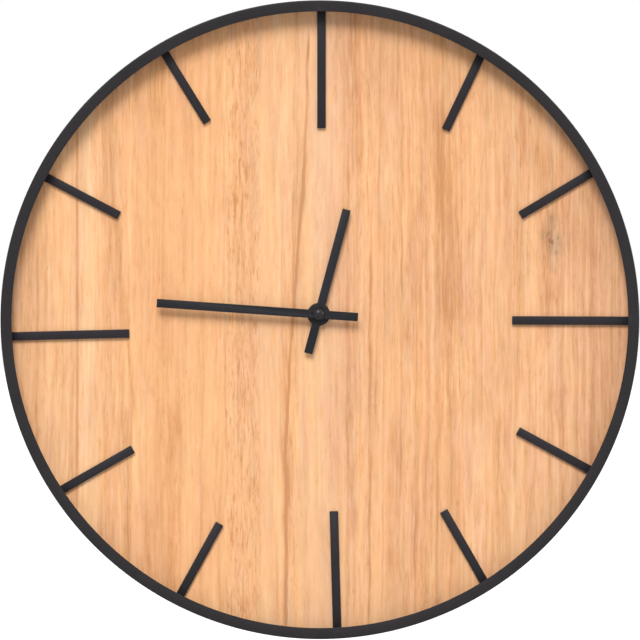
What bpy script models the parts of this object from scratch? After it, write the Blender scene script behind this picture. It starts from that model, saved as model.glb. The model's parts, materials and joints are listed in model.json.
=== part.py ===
"""A round wall clock, 600 mm across.

A rolled steel rim holds a wood-faced dial with twelve steel hour bars. A battery movement hangs
behind the dial: its threaded bushing passes through the dial and carries the two bar hands, and
its wheel train, stepping motor and setting knob are modelled inside and behind its case.

The clock is drawn lying flat, in the axes of the empty called clock: X to the right, Y up the
dial and Z towards the viewer, with zero at the middle of the dial's face. The empty then stands
the clock upright, so that the wall is the plane Y = 0 and the hanging screw is at the origin.
"""

from math import atan2, cos, degrees, pi, radians, sin, sqrt

import bmesh
import bpy
from mathutils import Vector

# Running and fitting gaps
SEAT_GAP = 0.0003
LEVEL_GAP = 0.0006
OVERRUN = 0.002

# Rim, rolled from steel angle
RIM_RADIUS = 0.300
RIM_FLANGE = 0.0105
RIM_THICKNESS = 0.0015
RIM_BEND = 0.0012
RIM_STANDOUT = 0.016
RIM_PAST_CASE = 0.0004

# Dial
BOARD_THICKNESS = 0.005
VENEER_THICKNESS = 0.0008
DIAL_HOLE_RADIUS = 0.0045

# Hour bars
BAR_WIDTH = 0.008
BAR_THICKNESS = 0.0025
BAR_EDGE = 0.0003
QUARTER_BAR_LENGTH = 0.110
HOUR_BAR_LENGTH = 0.076
BAR_TUCK = 0.0045
# The bars are set by hand. From twelve o'clock on: degrees clockwise by which a bar's outer end
# strays from its hour and by which the bar leans from there, and how far inwards it is set.
BAR_STRAYS = (0.3, 1.4, 1.6, 0.2, -0.9, -2.1, -3.2, -3.1, -3.4, -3.1, -2.5, -0.2)
BAR_LEANS = (-0.3, -6.0, -2.5, 0.0, -0.6, 2.3, 1.6, 2.0, 3.6, 1.7, 0.2, -1.5)
BAR_INSETS = (-0.0006, 0, 0.0010, -0.0012, 0, -0.0006, -0.0009, 0, 0, 0, 0.0009, 0)

# The hands' axis, from the middle of the dial
AXIS_RIGHT = -0.0011
AXIS_UP = 0.0050

# Hands
HAND_WIDTH = 0.008
HAND_EDGE = 0.0002
HOUR_REACH = 0.102
HOUR_TAIL = 0.038
HOUR_THICKNESS = 0.0010
HOUR_OFF_BUSHING = 0.0008
HOUR_DISC_RADIUS = 0.0108
HOUR_ANGLE = 15.0
MINUTE_REACH = 0.1525
MINUTE_TAIL = 0.037
MINUTE_THICKNESS = 0.0012
HANDS_APART = 0.0028
MINUTE_ANGLE = 274.0
CAP_RADIUS = 0.0054
CAP_HEIGHT = 0.0034
CAP_RIM = 0.0010
CAP_ROOF = 0.0014
TUBE_STICKOUT = 0.0002

# Movement case
CASE_CORNER = 0.003
CASE_WALL = 0.0012
CASE_LEDGE = 0.0010
WHEEL_CLEARANCE = 0.0008
STATOR_CLEARANCE = 0.0013
BAY_FLOOR = 0.0008
BAY_WALL = 0.0010
COVER_THICKNESS = 0.0012
COVER_SPACE = 0.0013
PIVOT_DEPTH = 0.0006
POST_RADIUS = 0.0012

# Battery, size AA, and its contacts
BATTERY_RADIUS = 0.00725
BATTERY_LENGTH = 0.0505
BATTERY_NUB_RADIUS = 0.00275
BATTERY_NUB_LENGTH = 0.0012
BATTERY_EDGE = 0.0006
CONTACT_THICKNESS = 0.0004
CONTACT_HALF_HEIGHT = 0.0045
CONTACT_HALF_WIDTH = 0.0035
CONTACT_BUMP_HALF = 0.0028
SPRING_ROOM = 0.0021

# Bushing, washers and nut on the front of the movement
BUSHING_RADIUS = 0.0040
BUSHING_BORE = 0.0028
BUSHING_FLANGE_RADIUS = 0.0060
BUSHING_FLANGE = 0.0008
RUBBER_RADIUS = 0.0090
RUBBER_THICKNESS = 0.0010
WASHER_RADIUS = 0.0080
WASHER_THICKNESS = 0.0005
NUT_ACROSS_FLATS = 0.0110
NUT_THICKNESS = 0.0020

# Wheel train: teeth and modules, with the sizes of the arbors
WHEEL_THICKNESS = 0.0008
TRAIN_MODULE = 0.00030
MOTION_MODULE = 0.00035
FOURTH_MODULE = 0.00035
FIFTH_MODULE = 0.00025
CENTRE_TEETH = 64
THIRD_TEETH = 60
FOURTH_TEETH = 40
FIFTH_TEETH = 48
TRAIN_LEAVES = 8
CANNON_TEETH = 12
MINUTE_WHEEL_TEETH = 36
MINUTE_PINION_TEETH = 10
HOUR_WHEEL_TEETH = 40
ADDENDUM_SHARE = 0.9
DEDENDUM_SHARE = 1.2
TOOTH_ROOT_SHARE = 0.62
TOOTH_TIP_SHARE = 0.20
MINUTE_ARBOR_RADIUS = 0.0015
MINUTE_PIVOT_RADIUS = 0.0008
HOUR_TUBE_RADIUS = 0.0025
HOUR_TUBE_BORE = 0.0018
ARBOR_RADIUS = 0.0006
STUB_RADIUS = 0.0008
STUB_END = 0.0002
THIRD_HEADING = 20.0
FOURTH_HEADING = 110.0
FIFTH_HEADING = 165.0
ROTOR_HEADING = 175.0
MINUTE_WHEEL_HEADING = 180.0

# Setting knob
KNOB_RADIUS = 0.0055
KNOB_THICKNESS = 0.0024
KNOB_FLUTES = 24
KNOB_FLUTE_DEPTH = 0.0003
KNOB_ARBOR_RADIUS = 0.0015

# Stepping motor
MAGNET_RADIUS = 0.0030
MAGNET_HALF_HEIGHT = 0.0013
ROTOR_ARBOR_RADIUS = 0.0005
STATOR_THICKNESS = 0.0008
STATOR_GAP = 0.0006
STATOR_BLOCK_HALF = 0.0050
STATOR_ARM = 0.0035
STATOR_ABOVE = 0.0094
STATOR_BELOW = 0.0126
STATOR_PAST_COIL = 0.0025
COIL_FROM_ROTOR = 0.0111
COIL_RADIUS = 0.0034
COIL_FLANGE_RADIUS = 0.0037
COIL_FLANGE = 0.0008
COIL_BORE = 0.0019
CORE_WIDTH = 0.0030
CORE_THICKNESS = 0.0010
CORE_END_GAP = 0.0010

# Circuit board and what it carries
CIRCUIT_SIDE = 0.0120
CIRCUIT_THICKNESS = 0.0010
CHIP_RADIUS = 0.0025
CHIP_HEIGHT = 0.0009
QUARTZ_RADIUS = 0.0010
QUARTZ_LENGTH = 0.0060

# Angle pieces welded inside the rim
ANGLE_THICKNESS = 0.0015
BRACKET_WIDTH = 0.020
BRACKET_LEG = 0.018
BRACKET_WALL_LEG = 0.014
BRACKET_ANGLES = (45.0, 135.0, 225.0, 315.0)
BRACKET_SCREW_INSET = 0.011
HANGER_WIDTH = 0.040
HANGER_LEG = 0.032
HANGER_WALL_LEG = 0.012
HANGER_FROM_RIM_EDGE = 0.0005
HOOK_INSET = 0.0095
KEYHOLE_SLOT_RADIUS = 0.0023
KEYHOLE_ENTRY_RADIUS = 0.0045
KEYHOLE_TRAVEL = 0.011
BUMPER_TAB_WIDTH = 0.016
BUMPER_TAB_LEG = 0.016
BUMPER_INSET = 0.008
BUMPER_ANGLES = (240.0, 300.0)

# Screws and bumpers
SCREW_HEAD_RADIUS = 0.0035
SCREW_HEAD_HEIGHT = 0.0018
SCREW_HEAD_EDGE = 0.0006
SCREW_SHANK_RADIUS = 0.0014
SCREW_BITE = 0.0040
BUMPER_RADIUS = 0.0060
BUMPER_EDGE = 0.0004
BUMPER_STANDOFF = 0.0020
BUMPER_STEM_RADIUS = 0.0022
BUMPER_BULB_RADIUS = 0.0028
BUMPER_BULB_LENGTH = 0.0012

# Facets
RIM_SIDES = 96
TURNED_SIDES = 24
SMALL_SIDES = 16
NUT_SIDES = 6
DOME_STEPS = 5
BEND_STEPS = 3
SMOOTH_ANGLE = 35.0
MERGE_DISTANCE = 0.00001
FLAT_SHARE = cos(pi / RIM_SIDES)

# Colours, as linear light
CHARCOAL = (0.040, 0.036, 0.044)
WOOD = (0.90, 0.50, 0.25)
FIBREBOARD = (0.42, 0.28, 0.16)
BLACK_PLASTIC = (0.020, 0.020, 0.022)
WHITE_PLASTIC = (0.75, 0.75, 0.72)
BRASS = (0.70, 0.48, 0.18)
STEEL = (0.55, 0.56, 0.58)
COPPER = (0.62, 0.26, 0.11)
RUBBER = (0.025, 0.025, 0.025)
CIRCUIT_GREEN = (0.03, 0.20, 0.07)
BATTERY_WRAP = (0.10, 0.11, 0.12)
MAGNET = (0.10, 0.10, 0.11)

# Heights along the clock's Z, from the dial's face back to the wall
VENEER_BACK = -VENEER_THICKNESS
BOARD_FRONT = VENEER_BACK - SEAT_GAP
BOARD_BACK = BOARD_FRONT - BOARD_THICKNESS
RUBBER_FRONT = BOARD_BACK - SEAT_GAP
RUBBER_BACK = RUBBER_FRONT - RUBBER_THICKNESS
CASE_FRONT = RUBBER_BACK - SEAT_GAP
ROOM_FRONT = CASE_FRONT - CASE_WALL
FLANGE_FRONT = ROOM_FRONT - SEAT_GAP
FLANGE_BACK = FLANGE_FRONT - BUSHING_FLANGE
TRAIN_FRONT = FLANGE_BACK - LEVEL_GAP
TRAIN_LEVELS = 6
LEVEL_PITCH = WHEEL_THICKNESS + LEVEL_GAP
COVER_FRONT = TRAIN_FRONT - TRAIN_LEVELS * LEVEL_PITCH + LEVEL_GAP - COVER_SPACE
COVER_BACK = COVER_FRONT - COVER_THICKNESS
KNOB_FRONT = COVER_BACK - SEAT_GAP
KNOB_BACK = KNOB_FRONT - KNOB_THICKNESS
BAY_BACK = CASE_FRONT - BAY_FLOOR - 2 * (BATTERY_RADIUS + SEAT_GAP)
CASE_BACK = min(BAY_BACK, KNOB_BACK)
RIM_FRONT = RIM_STANDOUT
RIM_BACK = CASE_BACK - RIM_PAST_CASE
WALL = RIM_BACK - BUMPER_STANDOFF
WASHER_FRONT = SEAT_GAP + WASHER_THICKNESS
NUT_BACK = WASHER_FRONT + SEAT_GAP
NUT_FRONT = NUT_BACK + NUT_THICKNESS
BUSHING_FRONT = NUT_FRONT + SEAT_GAP
HOUR_LIFT = BUSHING_FRONT + HOUR_OFF_BUSHING
HOUR_FRONT = HOUR_LIFT + HOUR_THICKNESS
MINUTE_LIFT = HOUR_FRONT + HANDS_APART
MINUTE_FRONT = MINUTE_LIFT + MINUTE_THICKNESS
CAP_BACK = MINUTE_FRONT + SEAT_GAP
CAP_FRONT = CAP_BACK + CAP_HEIGHT
ARBOR_TIP = CAP_FRONT - CAP_ROOF - SEAT_GAP
HANGER_BACK = RIM_BACK + HANGER_FROM_RIM_EDGE
HANGER_FRONT = HANGER_BACK + ANGLE_THICKNESS

# Radii from the middle of the dial
RIM_INSIDE = RIM_RADIUS - RIM_THICKNESS
RIM_OPENING = RIM_RADIUS - RIM_FLANGE
DIAL_RADIUS = RIM_INSIDE - SEAT_GAP
HOOK_RADIUS = RIM_INSIDE - HOOK_INSET


def step_from(start, distance, heading):
    """The place this far from start, at a heading in degrees."""
    turn = radians(heading)
    return (start[0] + distance * cos(turn), start[1] + distance * sin(turn))


def tip_radius(teeth, module):
    return (teeth / 2 + ADDENDUM_SHARE) * module


def centre_distance(first_teeth, second_teeth, module):
    return (first_teeth + second_teeth) / 2 * module


MOTION_DISTANCE = centre_distance(CANNON_TEETH, MINUTE_WHEEL_TEETH, MOTION_MODULE)
HOUR_MODULE = 2 * MOTION_DISTANCE / (HOUR_WHEEL_TEETH + MINUTE_PINION_TEETH)
HANDS = (0, 0)
THIRD = step_from(HANDS, centre_distance(CENTRE_TEETH, TRAIN_LEAVES, TRAIN_MODULE), THIRD_HEADING)
FOURTH = step_from(THIRD, centre_distance(THIRD_TEETH, TRAIN_LEAVES, TRAIN_MODULE), FOURTH_HEADING)
FIFTH = step_from(FOURTH, centre_distance(FOURTH_TEETH, TRAIN_LEAVES, FOURTH_MODULE), FIFTH_HEADING)
ROTOR = step_from(FIFTH, centre_distance(FIFTH_TEETH, TRAIN_LEAVES, FIFTH_MODULE), ROTOR_HEADING)
MINUTE_WHEEL = step_from(HANDS, MOTION_DISTANCE, MINUTE_WHEEL_HEADING)
KNOB = step_from(MINUTE_WHEEL, MOTION_DISTANCE, MINUTE_WHEEL_HEADING)

# The stepping motor, round its rotor
COIL_ACROSS = ROTOR[0] - COIL_FROM_ROTOR
STATOR_LEFT = COIL_ACROSS - STATOR_PAST_COIL
STATOR_FOOT = COIL_ACROSS + COIL_FLANGE_RADIUS + STATOR_GAP
STATOR_TOP = ROTOR[1] + STATOR_ABOVE
STATOR_BOTTOM = ROTOR[1] - STATOR_BELOW

# The movement's rooms: one for the train and the motor, and below it the battery's bay
BAY_LENGTH = BATTERY_LENGTH + SPRING_ROOM + CONTACT_THICKNESS + 2 * SEAT_GAP
ROOM_HALF = max(BAY_LENGTH / 2, COIL_FLANGE_RADIUS + STATOR_GAP - COIL_ACROSS)
ROOM_BOTTOM = -tip_radius(CENTRE_TEETH, TRAIN_MODULE) - WHEEL_CLEARANCE
ROOM_TOP = STATOR_TOP + STATOR_CLEARANCE
BAY_TOP = ROOM_BOTTOM - BAY_WALL
BAY_BOTTOM = BAY_TOP - 2 * (BATTERY_RADIUS + SEAT_GAP)
BAY_LEFT = ROOM_HALF - BAY_LENGTH
BATTERY_UP = (BAY_BOTTOM + BAY_TOP) / 2
BATTERY_HEIGHT = CASE_FRONT - BAY_FLOOR - SEAT_GAP - BATTERY_RADIUS


def clear_scene():
    for obj in list(bpy.data.objects):
        bpy.data.objects.remove(obj, do_unlink=True)


def new_collection(name):
    made = bpy.data.collections.new(name)
    bpy.context.scene.collection.children.link(made)
    return made


def new_empty(name, parent=None, at=(0, 0, 0), turn=(0, 0, 0)):
    empty = bpy.data.objects.new(name, None)
    bpy.data.collections["wall_clock"].objects.link(empty)
    empty.parent = parent
    empty.location = at
    empty.rotation_euler = turn
    return empty


def add_object(name, mesh, parent, home):
    obj = bpy.data.objects.new(name, mesh)
    bpy.data.collections[home].objects.link(obj)
    obj.parent = parent
    return obj


def add_piece(name, mesh, parent):
    return add_object(name, mesh, parent, "wall_clock")


def add_tool(name, mesh, parent):
    """A helper that only cuts or joins, and isn't part of the clock."""
    tool = add_object(name, mesh, parent, "cutters")
    tool.hide_render = True
    tool.display_type = "WIRE"
    return tool


def apply_tool(piece, tool, operation):
    modifier = piece.modifiers.new(operation.title(), "BOOLEAN")
    modifier.operation = operation
    modifier.object = tool


def cut(piece, mesh, parent):
    apply_tool(piece, add_tool(piece.name + "_cut", mesh, parent), "DIFFERENCE")


def join(piece, tool):
    apply_tool(piece, tool, "UNION")


def finish(piece, colour, roughness, metallic=0.0):
    """Gives the piece its own material, and smooth shading across its shallow edges."""
    surface = bpy.data.materials.new(piece.name)
    surface.use_nodes = True
    shader = surface.node_tree.nodes["Principled BSDF"]
    shader.inputs["Base Color"].default_value = (*colour, 1)
    shader.inputs["Roughness"].default_value = roughness
    shader.inputs["Metallic"].default_value = metallic
    piece.data.materials.append(surface)
    if piece.data.polygons:
        piece.data.shade_smooth()
        piece.data.set_sharp_from_angle(angle=radians(SMOOTH_ANGLE))
    return piece


def box_mesh(low, high):
    """A box between two corners."""
    shape = bmesh.new()
    bmesh.ops.create_cube(shape, size=1)
    sides = Vector(high) - Vector(low)
    middle = (Vector(high) + Vector(low)) / 2
    bmesh.ops.scale(shape, vec=sides, verts=shape.verts)
    bmesh.ops.translate(shape, vec=middle, verts=shape.verts)
    return mesh_from(shape)


def rod_mesh(radius, low, high, sides, at=(0, 0)):
    """A cylinder along Z."""
    shape = bmesh.new()
    bmesh.ops.create_cone(
        shape, cap_ends=True, segments=sides, radius1=radius, radius2=radius, depth=high - low
    )
    bmesh.ops.translate(shape, vec=(at[0], at[1], (low + high) / 2), verts=shape.verts)
    return mesh_from(shape)


def mesh_from(shape):
    mesh = bpy.data.meshes.new("shape")
    shape.to_mesh(mesh)
    shape.free()
    return mesh


def sheet_mesh(loops, low, high):
    """A flat outline, with any holes, between two heights. The caps are welded to the sides."""
    curve = bpy.data.curves.new("outline", "CURVE")
    curve.dimensions = "2D"
    curve.fill_mode = "BOTH"
    curve.extrude = (high - low) / 2
    for loop in loops:
        spline = curve.splines.new("POLY")
        spline.points.add(len(loop) - 1)
        for point, (across, up) in zip(spline.points, loop):
            point.co = (across, up, 0, 1)
        spline.use_cyclic_u = True
    outline = bpy.data.objects.new("outline", curve)
    bpy.context.scene.collection.objects.link(outline)
    evaluated = outline.evaluated_get(bpy.context.evaluated_depsgraph_get())
    mesh = bpy.data.meshes.new_from_object(evaluated)
    bpy.data.objects.remove(outline, do_unlink=True)
    shape = bmesh.new()
    shape.from_mesh(mesh)
    bmesh.ops.remove_doubles(shape, verts=shape.verts, dist=MERGE_DISTANCE)
    bmesh.ops.translate(shape, vec=(0, 0, (low + high) / 2), verts=shape.verts)
    shape.to_mesh(mesh)
    shape.free()
    return mesh


def turn_profile(piece, steps):
    modifier = piece.modifiers.new("Turn", "SCREW")
    modifier.axis = "Z"
    modifier.steps = steps
    modifier.render_steps = steps
    modifier.use_merge_vertices = True
    modifier.merge_threshold = MERGE_DISTANCE
    return piece


def profile_mesh(profile, closed):
    """The edges of a profile in the XZ plane, from its top down its outer side."""
    mesh = bpy.data.meshes.new("profile")
    edges = [(i, i + 1) for i in range(len(profile) - 1)]
    if closed:
        edges.append((len(profile) - 1, 0))
    mesh.from_pydata([(radius, 0, height) for radius, height in profile], edges, [])
    return mesh


def turned(name, profile, parent, steps=TURNED_SIDES, closed=False):
    return turn_profile(add_piece(name, profile_mesh(profile, closed), parent), steps)


def turned_tool(name, profile, parent, steps=SMALL_SIDES, closed=False):
    return turn_profile(add_tool(name, profile_mesh(profile, closed), parent), steps)


def washer_profile(inner, outer, low, high):
    return [(outer, high), (outer, low), (inner, low), (inner, high)]


def shaft_profile(sections):
    """The outline of a stepped shaft. Each section is a radius and the heights of its top and foot."""
    points = [(0, sections[0][1])]
    for radius, top, foot in sections:
        points += [(radius, top), (radius, foot)]
    return points + [(0, sections[-1][2])]


def circle(radius, sides, at=(0, 0), start=0.0):
    turns = [start + 2 * pi * i / sides for i in range(sides)]
    return [(at[0] + radius * cos(turn), at[1] + radius * sin(turn)) for turn in turns]


def arc(radius, at, start, end, steps):
    """Points from one heading to another, both in degrees."""
    headings = [start + (end - start) * i / steps for i in range(steps + 1)]
    return [step_from(at, radius, heading) for heading in headings]


def rectangle(left, bottom, right, top):
    return [(left, bottom), (right, bottom), (right, top), (left, top)]


def rounded_rectangle(left, bottom, right, top, corner):
    corners = (
        (right - corner, top - corner, 0),
        (left + corner, top - corner, 90),
        (left + corner, bottom + corner, 180),
        (right - corner, bottom + corner, 270),
    )
    points = []
    for across, up, start in corners:
        points += arc(corner, (across, up), start, start + 90, BEND_STEPS)
    return points


def gear_loop(teeth, module, phase=0.0):
    """Straight-sided teeth, the first one at this phase in radians."""
    pitch = 2 * pi / teeth
    root = (teeth / 2 - DEDENDUM_SHARE) * module
    tip = tip_radius(teeth, module)
    corners = (
        (-TOOTH_ROOT_SHARE / 2, root),
        (-TOOTH_TIP_SHARE / 2, tip),
        (TOOTH_TIP_SHARE / 2, tip),
        (TOOTH_ROOT_SHARE / 2, root),
    )
    points = []
    for tooth in range(teeth):
        for share, radius in corners:
            turn = phase + (tooth + share) * pitch
            points.append((radius * cos(turn), radius * sin(turn)))
    return points


def heading_between(start, end):
    return atan2(end[1] - start[1], end[0] - start[0])


def meshing_phase(wheel_teeth, pinion_teeth, heading):
    """The phase of a pinion in mesh with a wheel at phase 0, the pinion lying at this heading."""
    wheel_share = heading * wheel_teeth / (2 * pi)
    return heading + pi - (0.5 - wheel_share) * 2 * pi / pinion_teeth


def level_top(level):
    return TRAIN_FRONT - level * LEVEL_PITCH


def level_foot(level):
    return level_top(level) - WHEEL_THICKNESS


def gear_mesh(teeth, module, level, phase=0.0):
    return sheet_mesh([gear_loop(teeth, module, phase)], level_foot(level), level_top(level))


def make_rim(clock):
    bend = (RIM_RADIUS - RIM_BEND, RIM_FRONT - RIM_BEND)
    profile = arc(RIM_BEND, bend, 90, 0, BEND_STEPS)
    profile += [
        (RIM_RADIUS, RIM_BACK),
        (RIM_INSIDE, RIM_BACK),
        (RIM_INSIDE, RIM_FRONT - RIM_THICKNESS),
        (RIM_OPENING, RIM_FRONT - RIM_THICKNESS),
        (RIM_OPENING, RIM_FRONT),
    ]
    finish(turned("rim", profile, clock, RIM_SIDES, closed=True), CHARCOAL, 0.55, 0.3)


def screw_place(angle):
    return step_from((0, 0), RIM_INSIDE - BRACKET_SCREW_INSET, angle)


def make_dial(clock):
    hole_at = (AXIS_RIGHT, AXIS_UP)
    hole = rod_mesh(DIAL_HOLE_RADIUS, BOARD_BACK - OVERRUN, OVERRUN, TURNED_SIDES, hole_at)
    board = add_piece("dial_board", rod_mesh(DIAL_RADIUS, BOARD_BACK, BOARD_FRONT, RIM_SIDES), clock)
    cut(board, hole, clock)
    pilot = SCREW_SHANK_RADIUS + SEAT_GAP
    depth = BOARD_BACK + SCREW_BITE + SEAT_GAP
    for angle in BRACKET_ANGLES:
        place = screw_place(angle)
        cut(board, rod_mesh(pilot, BOARD_BACK - OVERRUN, depth, SMALL_SIDES, place), clock)
    finish(board, FIBREBOARD, 0.85)
    veneer = add_piece("dial_veneer", rod_mesh(DIAL_RADIUS, VENEER_BACK, 0, RIM_SIDES), clock)
    cut(veneer, hole, clock)
    finish(veneer, WOOD, 0.55)


def bar_mesh(width, length_below, length_above, low, high):
    return box_mesh((-width / 2, -length_below, low), (width / 2, length_above, high))


def soften(piece, width):
    modifier = piece.modifiers.new("Edges", "BEVEL")
    modifier.width = width
    modifier.segments = 1


def make_hour_bars(clock):
    """Each bar runs from under the rim's flange towards the middle, set by its angle at the flange."""
    for hour, (stray, lean, inset) in enumerate(zip(BAR_STRAYS, BAR_LEANS, BAR_INSETS)):
        reach = inset + (HOUR_BAR_LENGTH if hour % 3 else QUARTER_BAR_LENGTH)
        tuck = BAR_TUCK - inset
        mesh = bar_mesh(BAR_WIDTH, reach, tuck, SEAT_GAP, SEAT_GAP + BAR_THICKNESS)
        bar = add_piece(f"hour_bar_{hour or 12:02d}", mesh, clock)
        at_rim = 30 * hour + stray
        across, up = step_from((0, 0), RIM_OPENING, 90 - at_rim)
        bar.location = (across, up, 0)
        bar.rotation_euler = (0, 0, -radians(at_rim + lean))
        soften(bar, BAR_EDGE)
        finish(bar, CHARCOAL, 0.5, 0.3)


def make_hands(hour_axis, minute_axis):
    hour = add_piece(
        "hour_hand", bar_mesh(HAND_WIDTH, HOUR_TAIL, HOUR_REACH, HOUR_LIFT, HOUR_FRONT), hour_axis
    )
    soften(hour, HAND_EDGE)
    disc = rod_mesh(HOUR_DISC_RADIUS, HOUR_LIFT, HOUR_FRONT, TURNED_SIDES)
    join(hour, add_tool("hour_disc", disc, hour_axis))
    hour_hole = HOUR_TUBE_RADIUS + SEAT_GAP
    cut(hour, rod_mesh(hour_hole, 0, MINUTE_LIFT, SMALL_SIDES), hour_axis)
    hour.rotation_euler = (0, 0, -radians(HOUR_ANGLE))
    finish(hour, CHARCOAL, 0.5, 0.2)

    minute = add_piece(
        "minute_hand",
        bar_mesh(HAND_WIDTH, MINUTE_TAIL, MINUTE_REACH, MINUTE_LIFT, MINUTE_FRONT),
        minute_axis,
    )
    soften(minute, HAND_EDGE)
    minute_hole = MINUTE_ARBOR_RADIUS + SEAT_GAP
    cut(minute, rod_mesh(minute_hole, HOUR_FRONT, CAP_FRONT, SMALL_SIDES), minute_axis)
    minute.rotation_euler = (0, 0, -radians(MINUTE_ANGLE))
    finish(minute, CHARCOAL, 0.5, 0.2)

    make_cap(minute_axis, minute_hole)


def make_cap(axis, bore_radius):
    """The domed cap that is pressed onto the tip of the minute arbor."""
    profile = []
    for step in range(DOME_STEPS + 1):
        turn = step * pi / 2 / DOME_STEPS
        height = CAP_RIM + (CAP_HEIGHT - CAP_RIM) * cos(turn)
        profile.append((CAP_RADIUS * sin(turn), CAP_BACK + height))
    bore_top = CAP_FRONT - CAP_ROOF
    profile += [
        (CAP_RADIUS, CAP_BACK),
        (bore_radius, CAP_BACK),
        (bore_radius, bore_top),
        (0, bore_top),
    ]
    finish(turned("hand_cap", profile, axis), CHARCOAL, 0.25, 0.2)


def make_case(movement):
    half, bottom, top = ROOM_HALF + CASE_WALL, BAY_BOTTOM - CASE_WALL, ROOM_TOP + CASE_WALL
    outline = rounded_rectangle(-half, bottom, half, top, CASE_CORNER)
    case = add_piece("movement_case", sheet_mesh([outline], CASE_BACK, CASE_FRONT), movement)
    inner, inner_top = ROOM_HALF - CASE_LEDGE, ROOM_TOP - CASE_LEDGE
    behind = CASE_BACK - OVERRUN
    ledge = COVER_FRONT + SEAT_GAP
    cut(case, box_mesh((-inner, ROOM_BOTTOM, behind), (inner, inner_top, ROOM_FRONT)), movement)
    cut(case, box_mesh((-ROOM_HALF, ROOM_BOTTOM, behind), (ROOM_HALF, ROOM_TOP, ledge)), movement)
    floor = CASE_FRONT - BAY_FLOOR
    cut(case, box_mesh((BAY_LEFT, BAY_BOTTOM, behind), (ROOM_HALF, BAY_TOP, floor)), movement)
    hole = BUSHING_RADIUS + SEAT_GAP
    cut(case, rod_mesh(hole, ROOM_FRONT - OVERRUN, CASE_FRONT + OVERRUN, TURNED_SIDES), movement)
    for place, radius in (*pivots(), (KNOB, MINUTE_PIVOT_RADIUS), (MINUTE_WHEEL, STUB_RADIUS)):
        pocket = radius + SEAT_GAP
        depth = ROOM_FRONT + PIVOT_DEPTH
        cut(case, rod_mesh(pocket, ROOM_FRONT - OVERRUN, depth, SMALL_SIDES, place), movement)
    for up in (stator_foot_up(STATOR_TOP, -1), stator_foot_up(STATOR_BOTTOM, 1)):
        front = ROOM_FRONT + CASE_WALL / 2
        place = (COIL_ACROSS, up)
        post = rod_mesh(POST_RADIUS, stator_front() + SEAT_GAP, front, SMALL_SIDES, place)
        join(case, add_tool("stator_post", post, movement))
    finish(case, BLACK_PLASTIC, 0.5)


def pivots():
    """The arbors that run from the case to the cover, with the radii of their ends."""
    train = [(place, ARBOR_RADIUS) for place in (THIRD, FOURTH, FIFTH)]
    return [*train, (ROTOR, ROTOR_ARBOR_RADIUS)]


def make_cover(movement):
    edge = ROOM_HALF - SEAT_GAP
    outline = rectangle(-edge, ROOM_BOTTOM + SEAT_GAP, edge, ROOM_TOP - SEAT_GAP)
    knob_hole = circle(KNOB_ARBOR_RADIUS + SEAT_GAP, SMALL_SIDES, KNOB)
    cover = add_piece(
        "movement_cover", sheet_mesh([outline, knob_hole], COVER_BACK, COVER_FRONT), movement
    )
    for place, radius in (*pivots(), (HANDS, MINUTE_PIVOT_RADIUS)):
        pocket = radius + SEAT_GAP
        depth = COVER_FRONT - PIVOT_DEPTH
        cut(cover, rod_mesh(pocket, depth, COVER_FRONT + OVERRUN, SMALL_SIDES, place), movement)
    finish(cover, BLACK_PLASTIC, 0.55)


def make_bushing(movement):
    profile = [
        (BUSHING_RADIUS, BUSHING_FRONT),
        (BUSHING_RADIUS, FLANGE_FRONT),
        (BUSHING_FLANGE_RADIUS, FLANGE_FRONT),
        (BUSHING_FLANGE_RADIUS, FLANGE_BACK),
        (BUSHING_BORE, FLANGE_BACK),
        (BUSHING_BORE, BUSHING_FRONT),
    ]
    finish(turned("shaft_bushing", profile, movement, closed=True), BRASS, 0.3, 1.0)
    hole = BUSHING_RADIUS + SEAT_GAP
    rubber = washer_profile(hole, RUBBER_RADIUS, RUBBER_BACK, RUBBER_FRONT)
    finish(turned("rubber_washer", rubber, movement, closed=True), RUBBER, 0.8)
    flat = washer_profile(hole, WASHER_RADIUS, SEAT_GAP, WASHER_FRONT)
    finish(turned("flat_washer", flat, movement, closed=True), BRASS, 0.35, 1.0)
    hexagon = circle(NUT_ACROSS_FLATS / 2 / cos(pi / NUT_SIDES), NUT_SIDES)
    bore = circle(hole, TURNED_SIDES)
    nut = add_piece("shaft_nut", sheet_mesh([hexagon, bore], NUT_BACK, NUT_FRONT), movement)
    finish(nut, BRASS, 0.3, 1.0)


def make_battery(movement):
    contact_face = ROOM_HALF - SEAT_GAP - CONTACT_THICKNESS
    tip = contact_face - SEAT_GAP
    nub_foot = tip - BATTERY_NUB_LENGTH
    tail = tip - BATTERY_LENGTH
    profile = [
        (0, tip),
        (BATTERY_NUB_RADIUS, tip),
        (BATTERY_NUB_RADIUS, nub_foot),
        (BATTERY_RADIUS - BATTERY_EDGE, nub_foot),
        (BATTERY_RADIUS, nub_foot - BATTERY_EDGE),
        (BATTERY_RADIUS, tail + BATTERY_EDGE),
        (BATTERY_RADIUS - BATTERY_EDGE, tail),
        (0, tail),
    ]
    battery = turned("battery", profile, movement)
    battery.location = (0, BATTERY_UP, BATTERY_HEIGHT)
    battery.rotation_euler = (0, pi / 2, 0)
    finish(battery, BATTERY_WRAP, 0.35, 0.3)
    make_contacts(movement, contact_face, tail)


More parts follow.
